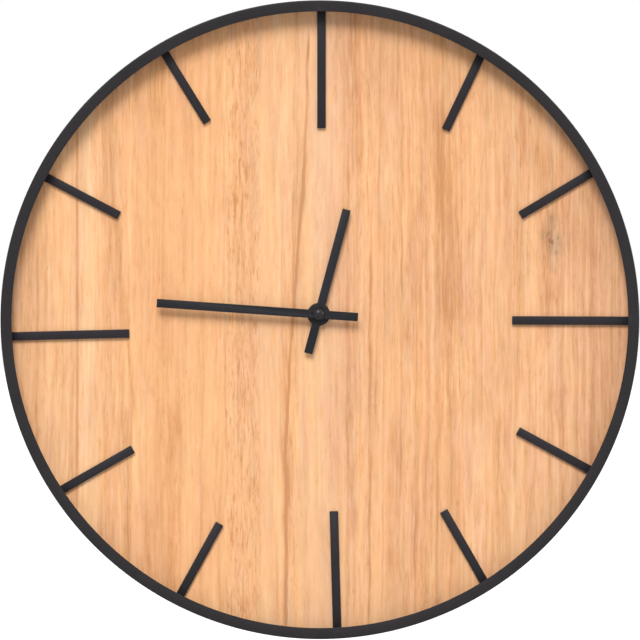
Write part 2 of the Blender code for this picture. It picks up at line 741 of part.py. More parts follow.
def make_contacts(movement, contact_face, tail):
    low = BATTERY_HEIGHT - CONTACT_HALF_WIDTH
    high = BATTERY_HEIGHT + CONTACT_HALF_WIDTH
    bottom, top = BATTERY_UP - CONTACT_HALF_HEIGHT, BATTERY_UP + CONTACT_HALF_HEIGHT
    plate = rectangle(contact_face, bottom, contact_face + CONTACT_THICKNESS, top)
    plus = add_piece("battery_contact_plus", sheet_mesh([plate], low, high), movement)
    finish(plus, STEEL, 0.25, 1.0)
    back = BAY_LEFT + SEAT_GAP
    front = back + CONTACT_THICKNESS
    touch = tail - SEAT_GAP
    spring = [
        (back, top),
        (back, BATTERY_UP + CONTACT_BUMP_HALF),
        (touch - CONTACT_THICKNESS, BATTERY_UP),
        (back, BATTERY_UP - CONTACT_BUMP_HALF),
        (back, bottom),
        (front, bottom),
        (front, BATTERY_UP - CONTACT_BUMP_HALF),
        (touch, BATTERY_UP),
        (front, BATTERY_UP + CONTACT_BUMP_HALF),
        (front, top),
    ]
    minus = add_piece("battery_contact_minus", sheet_mesh([spring], low, high), movement)
    finish(minus, STEEL, 0.25, 1.0)


def make_circuit(movement):
    right, top = ROOM_HALF - CASE_LEDGE - SEAT_GAP, ROOM_TOP - CASE_LEDGE - SEAT_GAP
    back = COVER_FRONT + SEAT_GAP
    front = back + CIRCUIT_THICKNESS
    low = (right - CIRCUIT_SIDE, top - CIRCUIT_SIDE, back)
    board = add_piece("circuit_board", box_mesh(low, (right, top, front)), movement)
    finish(board, CIRCUIT_GREEN, 0.5)
    across, up = right - CIRCUIT_SIDE / 2, top - CIRCUIT_SIDE / 2
    face = front + SEAT_GAP
    chip_top = face + CHIP_HEIGHT
    chip_profile = [(0, chip_top), (CHIP_RADIUS / 2, chip_top), (CHIP_RADIUS, face), (0, face)]
    chip = turned("clock_chip", chip_profile, movement, SMALL_SIDES)
    chip.location = (across, up - CHIP_RADIUS, 0)
    finish(chip, BLACK_PLASTIC, 0.4)
    half = QUARTZ_LENGTH / 2
    quartz = add_piece("quartz_can", rod_mesh(QUARTZ_RADIUS, -half, half, SMALL_SIDES), movement)
    quartz.location = (across, up + CHIP_RADIUS, face + QUARTZ_RADIUS)
    quartz.rotation_euler = (0, pi / 2, 0)
    finish(quartz, STEEL, 0.3, 1.0)


def stator_front():
    return level_top(2)


def stator_foot_up(end, inwards):
    """The height of the middle of a stator foot, from the foot's outer edge."""
    return end + inwards * STATOR_ARM / 2


def make_motor(movement):
    front = stator_front()
    back = front - STATOR_THICKNESS
    block_left, block_right = ROTOR[0] - STATOR_BLOCK_HALF, ROTOR[0] + STATOR_BLOCK_HALF
    block_bottom, block_top = ROTOR[1] - STATOR_BLOCK_HALF, ROTOR[1] + STATOR_BLOCK_HALF
    outline = [
        (STATOR_LEFT, STATOR_TOP),
        (STATOR_LEFT, STATOR_TOP - STATOR_ARM),
        (STATOR_FOOT, STATOR_TOP - STATOR_ARM),
        (block_left, block_top - STATOR_ARM / 2),
        (block_left, block_bottom + STATOR_ARM / 2),
        (STATOR_FOOT, STATOR_BOTTOM + STATOR_ARM),
        (STATOR_LEFT, STATOR_BOTTOM + STATOR_ARM),
        (STATOR_LEFT, STATOR_BOTTOM),
        (STATOR_FOOT, STATOR_BOTTOM),
        (block_right, block_bottom),
        (block_right, block_top),
        (STATOR_FOOT, STATOR_TOP),
    ]
    hole = circle(MAGNET_RADIUS + STATOR_GAP, TURNED_SIDES, ROTOR)
    stator = add_piece("stator_plate", sheet_mesh([outline, hole], back, front), movement)
    finish(stator, STEEL, 0.4, 1.0)

    core_front = back - SEAT_GAP
    core_back = core_front - CORE_THICKNESS
    low = (COIL_ACROSS - CORE_WIDTH / 2, STATOR_BOTTOM + CORE_END_GAP, core_back)
    high = (COIL_ACROSS + CORE_WIDTH / 2, STATOR_TOP - CORE_END_GAP, core_front)
    finish(add_piece("coil_core", box_mesh(low, high), movement), STEEL, 0.4, 1.0)

    half = (STATOR_TOP - STATOR_BOTTOM) / 2 - STATOR_ARM - SEAT_GAP
    profile = [
        (COIL_FLANGE_RADIUS, half),
        (COIL_FLANGE_RADIUS, half - COIL_FLANGE),
        (COIL_RADIUS, half - COIL_FLANGE),
        (COIL_RADIUS, COIL_FLANGE - half),
        (COIL_FLANGE_RADIUS, COIL_FLANGE - half),
        (COIL_FLANGE_RADIUS, -half),
        (COIL_BORE, -half),
        (COIL_BORE, half),
    ]
    coil = turned("coil_winding", profile, movement, SMALL_SIDES, closed=True)
    coil.location = (COIL_ACROSS, (STATOR_TOP + STATOR_BOTTOM) / 2, (core_front + core_back) / 2)
    coil.rotation_euler = (pi / 2, 0, 0)
    finish(coil, COPPER, 0.4, 0.6)


def add_gear(piece, teeth, module, level, axis, phase=0.0):
    join(piece, add_tool(piece.name + "_teeth", gear_mesh(teeth, module, level, phase), axis))


def pivot_top():
    return ROOM_FRONT + PIVOT_DEPTH - SEAT_GAP


def pivot_foot():
    return COVER_FRONT - PIVOT_DEPTH + SEAT_GAP


def make_train_wheel(name, axis, radius, pinion, wheel):
    """An arbor from case to cover. Pinion and wheel are each teeth, module, level and phase."""
    shaft = shaft_profile([(radius, pivot_top(), pivot_foot())])
    piece = turned(name, shaft, axis, SMALL_SIDES)
    for teeth, module, level, phase in (pinion, wheel):
        add_gear(piece, teeth, module, level, axis, phase)
    return finish(piece, WHITE_PLASTIC, 0.45)


def make_train(axes):
    phase = meshing_phase(CENTRE_TEETH, TRAIN_LEAVES, heading_between(HANDS, THIRD))
    pinion, wheel = (TRAIN_LEAVES, TRAIN_MODULE, 2, phase), (THIRD_TEETH, TRAIN_MODULE, 3, 0.0)
    make_train_wheel("third_wheel", axes["third_axis"], ARBOR_RADIUS, pinion, wheel)

    phase = meshing_phase(THIRD_TEETH, TRAIN_LEAVES, heading_between(THIRD, FOURTH))
    pinion, wheel = (TRAIN_LEAVES, TRAIN_MODULE, 3, phase), (FOURTH_TEETH, FOURTH_MODULE, 4, 0.0)
    make_train_wheel("fourth_wheel", axes["fourth_axis"], ARBOR_RADIUS, pinion, wheel)

    phase = meshing_phase(FOURTH_TEETH, TRAIN_LEAVES, heading_between(FOURTH, FIFTH))
    pinion, wheel = (TRAIN_LEAVES, FOURTH_MODULE, 4, phase), (FIFTH_TEETH, FIFTH_MODULE, 5, 0.0)
    make_train_wheel("fifth_wheel", axes["fifth_axis"], ARBOR_RADIUS, pinion, wheel)


def make_rotor(axis):
    middle = stator_front() - STATOR_THICKNESS / 2
    sections = [
        (ROTOR_ARBOR_RADIUS, pivot_top(), middle + MAGNET_HALF_HEIGHT),
        (MAGNET_RADIUS, middle + MAGNET_HALF_HEIGHT, middle - MAGNET_HALF_HEIGHT),
        (ROTOR_ARBOR_RADIUS, middle - MAGNET_HALF_HEIGHT, pivot_foot()),
    ]
    rotor = turned("rotor", shaft_profile(sections), axis, SMALL_SIDES)
    phase = meshing_phase(FIFTH_TEETH, TRAIN_LEAVES, heading_between(FIFTH, ROTOR))
    add_gear(rotor, TRAIN_LEAVES, FIFTH_MODULE, 5, axis, phase)
    finish(rotor, MAGNET, 0.4)


def make_centre_wheel(axis):
    """The minute arbor, with the cannon pinion and the wheel that the train drives."""
    step = level_foot(2) - STUB_END
    sections = [
        (MINUTE_ARBOR_RADIUS, ARBOR_TIP, step),
        (MINUTE_PIVOT_RADIUS, step, pivot_foot()),
    ]
    wheel = turned("centre_wheel", shaft_profile(sections), axis, SMALL_SIDES)
    phase = meshing_phase(MINUTE_WHEEL_TEETH, CANNON_TEETH, heading_between(MINUTE_WHEEL, HANDS))
    add_gear(wheel, CANNON_TEETH, MOTION_MODULE, 1, axis, phase)
    add_gear(wheel, CENTRE_TEETH, TRAIN_MODULE, 2, axis)
    finish(wheel, WHITE_PLASTIC, 0.45)


def make_minute_wheel(axis):
    sections = [(STUB_RADIUS, pivot_top(), level_foot(1) - STUB_END)]
    wheel = turned("minute_wheel", shaft_profile(sections), axis, SMALL_SIDES)
    phase = meshing_phase(
        HOUR_WHEEL_TEETH, MINUTE_PINION_TEETH, heading_between(HANDS, MINUTE_WHEEL)
    )
    add_gear(wheel, MINUTE_PINION_TEETH, HOUR_MODULE, 0, axis, phase)
    add_gear(wheel, MINUTE_WHEEL_TEETH, MOTION_MODULE, 1, axis)
    finish(wheel, WHITE_PLASTIC, 0.45)


def make_hour_wheel(axis):
    """The hour wheel and its tube, which runs in the bushing round the minute arbor."""
    front = HOUR_FRONT + TUBE_STICKOUT
    tube = shaft_profile([(HOUR_TUBE_RADIUS, front, level_foot(0))])
    wheel = add_piece("hour_wheel", gear_mesh(HOUR_WHEEL_TEETH, HOUR_MODULE, 0), axis)
    join(wheel, turned_tool("hour_tube", tube, axis))
    bore = rod_mesh(HOUR_TUBE_BORE, level_foot(0) - OVERRUN, front + OVERRUN, SMALL_SIDES)
    cut(wheel, bore, axis)
    finish(wheel, WHITE_PLASTIC, 0.45)


def make_knob(axis):
    """The setting knob behind the cover, with the pinion that turns the minute wheel."""
    flutes = []
    for i in range(2 * KNOB_FLUTES):
        radius = KNOB_RADIUS - (i % 2) * KNOB_FLUTE_DEPTH
        turn = i * pi / KNOB_FLUTES
        flutes.append((radius * cos(turn), radius * sin(turn)))
    knob = add_piece("setting_knob", sheet_mesh([flutes], KNOB_BACK, KNOB_FRONT), axis)
    sections = [
        (MINUTE_PIVOT_RADIUS, pivot_top(), level_top(1) + STUB_END),
        (KNOB_ARBOR_RADIUS, level_top(1) + STUB_END, KNOB_FRONT - KNOB_THICKNESS / 2),
    ]
    join(knob, turned_tool("knob_arbor", shaft_profile(sections), axis))
    phase = meshing_phase(MINUTE_WHEEL_TEETH, CANNON_TEETH, heading_between(MINUTE_WHEEL, KNOB))
    add_gear(knob, CANNON_TEETH, MOTION_MODULE, 1, axis, phase)
    finish(knob, WHITE_PLASTIC, 0.5)


def seat_radius(width):
    """How far out a flat leg of this width sits inside the rim's wall."""
    reach = RIM_INSIDE * FLAT_SHARE - SEAT_GAP
    return sqrt(reach * reach - width * width / 4)


def angle_mesh(width, radial_leg, wall_leg, plate_low, plate_high, leg_towards_wall):
    """An angle piece in the plane of a radius: X is the radius and Y the clock's Z."""
    outer = seat_radius(width)
    inner = outer - radial_leg
    if leg_towards_wall:
        end, corner, near, far = plate_high - wall_leg, plate_high, plate_low, plate_high
    else:
        end, corner, near, far = plate_low + wall_leg, plate_low, plate_high, plate_low
    outline = [
        (inner, far),
        (outer, corner),
        (outer, end),
        (outer - ANGLE_THICKNESS, end),
        (outer - ANGLE_THICKNESS, near),
        (inner, near),
    ]
    return sheet_mesh([outline], -width / 2, width / 2)


def add_angle(name, mesh, clock, angle):
    piece = add_piece(name, mesh, clock)
    piece.rotation_euler = (pi / 2, 0, radians(angle))
    return piece


def make_brackets(clock):
    plate_high = BOARD_BACK - SEAT_GAP
    plate_low = plate_high - ANGLE_THICKNESS
    for number, angle in enumerate(BRACKET_ANGLES, 1):
        mesh = angle_mesh(
            BRACKET_WIDTH, BRACKET_LEG, BRACKET_WALL_LEG, plate_low, plate_high, True
        )
        bracket = add_angle(f"rim_bracket_{number}", mesh, clock, angle)
        hole = SCREW_SHANK_RADIUS + SEAT_GAP
        low, high = plate_low - OVERRUN, plate_high + OVERRUN
        cut(bracket, rod_mesh(hole, low, high, SMALL_SIDES, screw_place(angle)), clock)
        finish(bracket, CHARCOAL, 0.6, 0.3)
        make_screw(number, clock, plate_low - SEAT_GAP, screw_place(angle))


def make_screw(number, clock, seat, place):
    top = BOARD_BACK + SCREW_BITE
    profile = [
        (0, top),
        (SCREW_SHANK_RADIUS / 2, top),
        (SCREW_SHANK_RADIUS, top - SCREW_SHANK_RADIUS),
        (SCREW_SHANK_RADIUS, seat),
        (SCREW_HEAD_RADIUS, seat),
        (SCREW_HEAD_RADIUS, seat - SCREW_HEAD_HEIGHT + SCREW_HEAD_EDGE),
        (SCREW_HEAD_RADIUS - SCREW_HEAD_EDGE, seat - SCREW_HEAD_HEIGHT),
        (0, seat - SCREW_HEAD_HEIGHT),
    ]
    screw = turned(f"bracket_screw_{number}", profile, clock, SMALL_SIDES)
    screw.location = (*place, 0)
    finish(screw, STEEL, 0.35, 1.0)


def make_hanger(clock):
    mesh = angle_mesh(
        HANGER_WIDTH, HANGER_LEG, HANGER_WALL_LEG, HANGER_BACK, HANGER_FRONT, False
    )
    hanger = add_angle("hanger_plate", mesh, clock, 90.0)
    low, high = HANGER_BACK - OVERRUN, HANGER_FRONT + OVERRUN
    slot, entry = KEYHOLE_SLOT_RADIUS, KEYHOLE_ENTRY_RADIUS
    meet = sqrt(entry * entry - slot * slot)
    lift = degrees(atan2(meet, slot))
    outline = arc(slot, (0, HOOK_RADIUS), 0, 180, SMALL_SIDES // 2)
    entry_at = (0, HOOK_RADIUS - KEYHOLE_TRAVEL)
    outline += arc(entry, entry_at, 180 - lift, 360 + lift, SMALL_SIDES)
    cut(hanger, sheet_mesh([outline], low, high), clock)
    finish(hanger, CHARCOAL, 0.6, 0.3)


def make_bumpers(clock):
    for side, angle in zip(("left", "right"), BUMPER_ANGLES):
        mesh = angle_mesh(
            BUMPER_TAB_WIDTH, BUMPER_TAB_LEG, HANGER_WALL_LEG, HANGER_BACK, HANGER_FRONT, False
        )
        tab = add_angle(f"bumper_tab_{side}", mesh, clock, angle)
        place = step_from((0, 0), RIM_INSIDE - BUMPER_INSET, angle)
        hole = BUMPER_STEM_RADIUS + SEAT_GAP
        low, high = HANGER_BACK - OVERRUN, HANGER_FRONT + OVERRUN
        cut(tab, rod_mesh(hole, low, high, SMALL_SIDES, place), clock)
        finish(tab, CHARCOAL, 0.6, 0.3)
        make_bumper(side, clock, place)


def make_bumper(side, clock, place):
    seat_back = HANGER_BACK - SEAT_GAP
    seat_front = HANGER_FRONT + SEAT_GAP
    profile = [
        (0, seat_front + BUMPER_BULB_LENGTH),
        (BUMPER_STEM_RADIUS, seat_front + BUMPER_BULB_LENGTH),
        (BUMPER_BULB_RADIUS, seat_front),
        (BUMPER_STEM_RADIUS, seat_front),
        (BUMPER_STEM_RADIUS, seat_back),
        (BUMPER_RADIUS, seat_back),
        (BUMPER_RADIUS, WALL + BUMPER_EDGE),
        (BUMPER_RADIUS - BUMPER_EDGE, WALL),
        (0, WALL),
    ]
    bumper = turned(f"wall_bumper_{side}", profile, clock)
    bumper.location = (*place, 0)
    finish(bumper, RUBBER, 0.85)


def main():
    clear_scene()
    new_collection("wall_clock")
    new_collection("cutters")
    clock = new_empty("clock", at=(0, WALL, -HOOK_RADIUS), turn=(pi / 2, 0, 0))
    movement = new_empty("movement", clock, (AXIS_RIGHT, AXIS_UP, 0))
    places = {
        "third_axis": THIRD,
        "fourth_axis": FOURTH,
        "fifth_axis": FIFTH,
        "rotor_axis": ROTOR,
        "minute_wheel_axis": MINUTE_WHEEL,
        "knob_axis": KNOB,
        "hour_axis": HANDS,
        "minute_axis": HANDS,
    }
    axes = {name: new_empty(name, movement, (*place, 0)) for name, place in places.items()}
    make_rim(clock)
    make_dial(clock)
    make_hour_bars(clock)
    make_brackets(clock)
    make_hanger(clock)
    make_bumpers(clock)
    make_case(movement)
    make_cover(movement)
    make_bushing(movement)
    make_battery(movement)
    make_circuit(movement)
    make_motor(movement)
    make_train(axes)
    make_rotor(axes["rotor_axis"])
    make_centre_wheel(axes["minute_axis"])
    make_minute_wheel(axes["minute_wheel_axis"])
    make_hour_wheel(axes["hour_axis"])
    make_knob(axes["knob_axis"])
    make_hands(axes["hour_axis"], axes["minute_axis"])


main()
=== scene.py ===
"""A round wall clock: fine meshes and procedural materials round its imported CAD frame.

The clock is drawn lying flat, with X to the right, Y up the dial and Z towards the viewer, zero at
the middle of the dial's face. UPRIGHT then stands each mesh up in the frame's own axes. Lengths are
in metres. Headings are in degrees, anticlockwise from three o'clock, and the hands' angles
clockwise from twelve.
"""
import json
from contextlib import contextmanager
from math import asin, atan2, cos, degrees, pi, radians, sin, sqrt

import bmesh
import bpy
from mathutils import Matrix, Vector


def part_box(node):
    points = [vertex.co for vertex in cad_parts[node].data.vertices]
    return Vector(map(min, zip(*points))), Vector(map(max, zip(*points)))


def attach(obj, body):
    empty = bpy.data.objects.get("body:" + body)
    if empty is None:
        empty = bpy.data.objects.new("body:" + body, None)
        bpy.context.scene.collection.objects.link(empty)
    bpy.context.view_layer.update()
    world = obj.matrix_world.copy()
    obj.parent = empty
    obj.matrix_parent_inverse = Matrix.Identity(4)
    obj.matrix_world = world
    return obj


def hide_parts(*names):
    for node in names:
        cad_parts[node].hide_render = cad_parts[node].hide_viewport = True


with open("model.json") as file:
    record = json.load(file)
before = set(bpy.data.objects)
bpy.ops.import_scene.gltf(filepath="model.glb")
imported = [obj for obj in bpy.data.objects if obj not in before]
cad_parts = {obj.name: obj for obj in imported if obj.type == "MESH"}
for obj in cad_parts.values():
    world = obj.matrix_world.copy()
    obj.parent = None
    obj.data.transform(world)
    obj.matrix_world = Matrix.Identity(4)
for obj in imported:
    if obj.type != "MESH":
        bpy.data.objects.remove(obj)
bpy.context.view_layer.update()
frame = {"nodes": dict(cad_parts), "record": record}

# Places and sizes that the frame gives
RIM_LOW, RIM_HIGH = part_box("rim")
DIAL_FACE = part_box("dial_veneer")[0].y
DIAL_MIDDLE = (RIM_LOW.z + RIM_HIGH.z) / 2

# Rim
RIM_RADIUS = 0.3
RIM_THICKNESS = 0.0015
RIM_OPENING = 0.2895
RIM_BEND = 0.0012
RIM_CREASE = 0.0006
RIM_EDGE = 0.0003
RIM_SIDES = 288

# Hour bars: each has its own place, lean and length, rounded from measures of the photo
BAR_WIDTH = 0.008
BAR_THICKNESS = 0.0025
BAR_LIFT = 0.0003
BAR_TUCK = 0.0045
BAR_LONG = 0.11
BAR_SHORT = 0.076
BAR_EDGE = 0.00045
BAR_STRAYS = (0.3, 1.4, 1.6, 0.2, -0.9, -2.1, -3.2, -3.1, -3.4, -3.1, -2.5, -0.2)
BAR_LEANS = (-0.3, -6.0, -2.5, 0.0, -0.6, 2.3, 1.6, 2.0, 3.6, 1.7, 0.2, -1.5)
BAR_INSETS = (-0.0006, 0, 0.001, -0.0012, 0, -0.0006, -0.0009, 0, 0, 0, 0.0009, 0)

# Hands
AXIS = (-0.0011, 0.005)
HAND_WIDTH = 0.008
HAND_EDGE = 0.00025
MINUTE_HOLE = 0.0018
# Each hand's reach, its tail, the radius of its boss and its hole, and its angle
HANDS = {
    "hour": (0.102, 0.038, 0.0108, 0.0028, 15.0),
    "minute": (0.1525, 0.037, 0.0, MINUTE_HOLE, 274.0),
}
CAP_RADIUS = 0.0054
CAP_RIM = 0.0007

# Angle pieces inside the rim, each kind by its width and its leg along the radius
PLATE = 0.0015
SEAT = 0.29804
ANGLE_BEND = 0.0026
ANGLE_CORNER = 0.004
BRACKET = (0.02, 0.018)
HANGER = (0.04, 0.032)
TAB = (0.016, 0.016)
BRACKET_ANGLES = (45.0, 135.0, 225.0, 315.0)
HANGER_ANGLE = 90.0
BUMPER_ANGLES = (240.0, 300.0)
SCREW_RADIUS = 0.2875
SCREW_TURN = 17
BUMPER_PLACE = 0.2905
BUMPER_HOLE = 0.0025
HOOK_RADIUS = 0.289

# Movement
BUSHING_HOLE = 0.0043
ARBOR_HOLE = 0.0018

GAP = 0.0003
OVERRUN = 0.002
SMOOTH_ANGLE = 32.0
SAME_POINT = 0.000002
CLOSE_POINT = 0.000005
NO_LENGTH = 0.0000005


def local_box(node):
    """The corners of a CAD node in the flat clock's own axes."""
    low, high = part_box(node)
    return (
        Vector((low.x, low.z - DIAL_MIDDLE, DIAL_FACE - high.y)),
        Vector((high.x, high.z - DIAL_MIDDLE, DIAL_FACE - low.y)),
    )


def local_heights(node):
    return [corner.z for corner in local_box(node)]


# Materials


def tint(red, green, blue):
    """A colour named by its eight-bit screen values, as linear light."""
    shares = [value / 255 for value in (red, green, blue)]
    return tuple(c / 12.92 if c <= 0.04045 else ((c + 0.055) / 1.055) ** 2.4 for c in shares)


class Nodes:
    """A node tree and the steps that build it."""

    def __init__(self, tree):
        self.tree = tree

    def add(self, kind, inputs=None, **settings):
        node = self.tree.nodes.new(f"ShaderNode{kind}")
        for name, value in settings.items():
            setattr(node, name, value)
        for socket, value in (inputs or {}).items():
            self.feed(node.inputs[socket], value)
        return node

    def feed(self, socket, value):
        if isinstance(value, bpy.types.NodeSocket):
            self.tree.links.new(value, socket)
        else:
            socket.default_value = value

    def math(self, operation, *values):
        inputs = dict(enumerate(values))
        return self.add("Math", inputs, operation=operation).outputs[0]

    def times(self, first, second):
        return self.math("MULTIPLY", first, second)

    def weigh(self, value, weight):
        """How far the value lies from a half, times the weight."""
        return self.times(self.math("SUBTRACT", value, 0.5), weight)

    def aside(self, value, middle):
        """How far the value lies from the middle, on either side."""
        return self.math("ABSOLUTE", self.math("SUBTRACT", value, middle))

    def total(self, *values):
        result = values[0]
        for value in values[1:]:
            result = self.math("ADD", result, value)
        return result

    def remap(self, value, start, end, low, high, way="SMOOTHSTEP"):
        """The value's way from start to end, as a step from low to high."""
        inputs = {"Value": value, "From Min": start, "From Max": end, "To Min": low, "To Max": high}
        node = self.add("MapRange", inputs, interpolation_type=way)
        return node.outputs["Result"]


class Surface(Nodes):
    """A Principled material and the nodes that feed it."""

    def __init__(self, name, **constants):
        self.material = bpy.data.materials.new(name)
        self.material.use_nodes = True
        super().__init__(self.material.node_tree)
        self.shader = self.tree.nodes["Principled BSDF"]
        self.point = self.add("TexCoord").outputs["Object"]
        for socket, value in constants.items():
            self.shader.inputs[socket.replace("_", " ")].default_value = value

    def along(self, axis):
        """How far the shaded point lies along an axis of its object."""
        return self.add("SeparateXYZ", {"Vector": self.point}).outputs[axis]

    def noise(self, sizes, detail=2.0, shift=0.0, twist=0.0):
        """Noise with spots of these sizes, or of this one size all ways."""
        if isinstance(sizes, float):
            sizes = (sizes,) * 3
        scale = [1 / size for size in sizes]
        inputs = {"Vector": self.point, "Scale": scale, "Location": (shift,) * 3}
        spread = self.add("Mapping", inputs).outputs[0]
        inputs = {"Vector": spread, "Scale": 1.0, "Detail": detail, "Distortion": twist}
        return self.add("TexNoise", inputs).outputs["Fac"]

    def ramp(self, value, *stops):
        node = self.add("ValToRGB", {"Fac": value})
        elements = node.color_ramp.elements
        for element, stop in zip(elements, (stops[0], stops[-1])):
            element.position, element.color = stop[0], (*stop[1], 1)
        for place, colour in stops[1:-1]:
            elements.new(place).color = (*colour, 1)
        return node.outputs["Color"]

    def blend(self, share, first, second, blend_type="MIX"):
        sides = [side if isinstance(side, bpy.types.NodeSocket) else (*side, 1)
                 for side in (first, second)]
        inputs = {0: share, 6: sides[0], 7: sides[1]}
        node = self.add("Mix", inputs, data_type="RGBA", blend_type=blend_type)
        return node.outputs[2]

    def colour(self, value):
        self.feed(self.shader.inputs["Base Color"], value)

    def rough(self, value, low, high):
        self.feed(self.shader.inputs["Roughness"], self.remap(value, 0.3, 0.7, low, high))

    def bump(self, height, depth):
        node = self.add("Bump", {"Height": height, "Distance": depth})
        self.feed(self.shader.inputs["Normal"], node.outputs[0])


MM = 0.001
# The veneer's strips: the place in millimetres, how much lighter and how much warmer it is. They
# were worked out from medians of the photo's columns
# The darker first and last stops, by the rim, are partly wood tone and partly painted shade from
# the rim
WOOD_STRIPS_AND_RIM_SHADE = (
    (-290, -0.1, -0.1), (-256, 0.03, 0.2), (-237, 0.18, 0.5), (-230, -0.02, 0), (-225, 0.32, 0),
    (-214, 0.33, 0), (-207, 0.02, 0.2), (-196, -0.1, 0.1), (-186, 0.08, 0.6), (-150, -0.08, 0.8),
    (-136, 0.03, 0.9), (-94, 0.08, 1.2), (-84, 0.08, 0.4), (-60, 0.07, 0.2), (-55, 0.14, 0),
    (-34, 0.12, 0.2), (-22, 0.06, 0), (-8, 0.17, -0.3), (5, 0.12, -0.9), (26, -0.08, -0.7),
    (36, 0.04, 0), (68, -0.02, 0.1), (117, -0.12, 0), (142, 0, 0), (206, 0.02, -0.3),
    (262, -0.18, -0.9),
)
# Single lines and patches in the grain, in millimetres: middle, half width, soft edge, shade, the
# heights between which it shows, and its lean to the right as a share of the height. Several
# patches were added where the wood differed most from the photo
WOOD_LINES_AND_RIM_SHADE = (
    (-184, 0.8, 3, -0.2, -230, 90, -0.1), (-191, 4, 6, -0.2, -260, -100, -0.06),
    (-171.5, 3, 6, 0.2, -200, -80, 0), (-154.5, 3, 6, -0.2, 200, 260, 0),
    (-147, 0.8, 2.6, -0.14, -60, 230, 0), (-137, 4, 6, -0.18, -260, -90, 0),
    (-109, 0.3, 1.2, -0.12, -240, 20, 0.01), (-17.4, 0.5, 1.4, -0.7, 135, 250, 0.025),
    (-24.3, 0.5, 1.4, -0.78, -105, 100, 0.073), (-33, 0.5, 1.4, -0.86, -270, -140, 0),
    (-24.5, 2.4, 6, -0.16, -260, 150, 0.055), (4, 9, 6, 0.17, 70, 280, 0),
    (26.5, 0.8, 2.2, -0.16, -250, 120, 0), (34, 3, 6, -0.26, 160, 280, 0),
    (47.3, 0.5, 1.4, -0.36, -270, 80, 0), (53.5, 0.4, 1.2, -0.18, -80, 250, 0.01),
    (60, 0.4, 1.2, -0.16, -250, 60, 0), (64.5, 2.5, 5, 0.2, 140, 240, 0),
    (76, 0.4, 1.2, -0.16, -200, 200, 0), (90, 0.3, 1.2, -0.16, -240, 240, 0),
    (118, 0.7, 1.8, -0.24, -160, 140, -0.035), (124.5, 6, 7, -0.2, 10, 180, -0.03),
    (147, 3, 6, 0.22, -220, -110, 0), (170, 2.5, 6, -0.18, -190, -40, 0),
    # The patch at 197.5 mm, by the rim at the upper right, is painted shade where the rim's soft
    # shadow falls
    (187, 1.2, 3.4, -0.16, -50, 210, 0), (197.5, 6, 7, -0.22, 160, 200, 0),
    (210.5, 2.6, 4, -0.16, 0, 35, 0), (214, 6.5, 8.5, -0.16, 75, 140, 0),
    (226, 1.2, 5, -0.16, -190, -60, 0),
)
# The joint between two strips: middle, half width, soft edge, shade and heights
WOOD_JOINT = (-228.2, 0.6, 1.3, -0.4, -170, 185)
LINE_FADE = 0.035
# The strips with the faintest grain, as a middle and a half width
WOOD_CALM = ((-0.136, 0.034), (-0.056, 0.009), (0.003, 0.019), (0.057, 0.004))
CALM_EDGE = 0.006
CALM_LOSS = 0.45
LIVELY = 1.12
# Painted shade from the rim: where the veneer darkens towards its top, and by how much
WOOD_TOP_SHADE = (0.18, 0.27, -0.09)
# The column with the wavy figure: its middle, its half width and where it ends
WOOD_COLUMN = (-0.0715, 0.014, 0.018)
KNOT = (0.2165, 0.074)
KNOT_RADII = (0.01, 0.023)

# The bends of the grain: sizes, detail, place in the noise and reach
WOOD_BENDS = (
    ((0.09, 1.0, 0.3), 0.0, 4.7, 0.005),
    ((0.016, 1.0, 0.045), 1.0, 6.1, 0.0034),
    ((0.004, 1.0, 0.014), 0.0, 8.3, 0.0006),
)
# Noises along the bent grain: width, length, detail and place in the noise
WOOD_GRAINS = {
    "medium": (0.006, 0.32, 2.0, 7.9),
    "fine": (0.0026, 0.05, 2.0, 5.1),
    "fibre": (0.0012, 0.015, 1.0, 9.4),
    "hair": (0.00042, 0.018, 2.0, 17.3),
    "patches": (0.02, 0.045, 1.0, 2.7),
    "figure": (0.005, 0.075, 1.0, 4.4),
    "ripples": (0.003, 0.024, 1.0, 15.2),
    "pores": (0.0012, 0.0105, 1.0, 3.6),
    "pore_zones": (0.018, 0.12, 1.0, 6.2),
    "pits": (0.00028, 0.0048, 0.0, 19.6),
    "flame": (0.008, 0.16, 1.0, 13.4),
    "olive": (0.01, 0.09, 2.0, 21.3),
}
# Noises that don't follow the grain: sizes, detail and place in the noise
WOOD_CLOUDS = {
    "cloud": ((0.018, 1.0, 0.09), 2.0, 1.3),
    "mottle": ((0.006, 1.0, 0.015), 2.0, 3.3),
    "blush": ((0.005, 1.0, 0.022), 2.0, 12.6),
    "specks": ((0.0026, 1.0, 0.0056), 1.0, 8.8),
}
STREAK_WEIGHTS = {"medium": 0.78, "fine": 0.62, "fibre": 0.24, "hair": 0.15}
CLOUD_WEIGHTS = {"cloud": 0.42, "mottle": 0.28}
WARMTH_WEIGHTS = {
    "blush": 0.5, "flame": 0.9, "medium": 0.6, "cloud": 1.3, "fine": -0.75, "fibre": -0.9,
    "hair": -0.5,
}
RELIEF_WEIGHTS = {"fine": 1.0, "fibre": 0.7, "hair": 0.6}
WOOD_TINTS = (
    (0.0, tint(212, 150, 102)), (0.25, tint(229, 169, 120)), (0.5, tint(243, 186, 138)),
    (0.75, tint(251, 199, 150)), (1.0, tint(255, 211, 163)),
)
COOL_CAST, WARM_CAST = (0.966, 0.99, 1.092), (1.04, 0.992, 0.915)
PINK_CAST, OLIVE_CAST = (1.009, 0.984, 1.006), (0.991, 1.016, 0.994)
KNOT_CAST, SPECK_CAST = (0.77, 0.83, 0.9), (0.7, 0.67, 0.6)


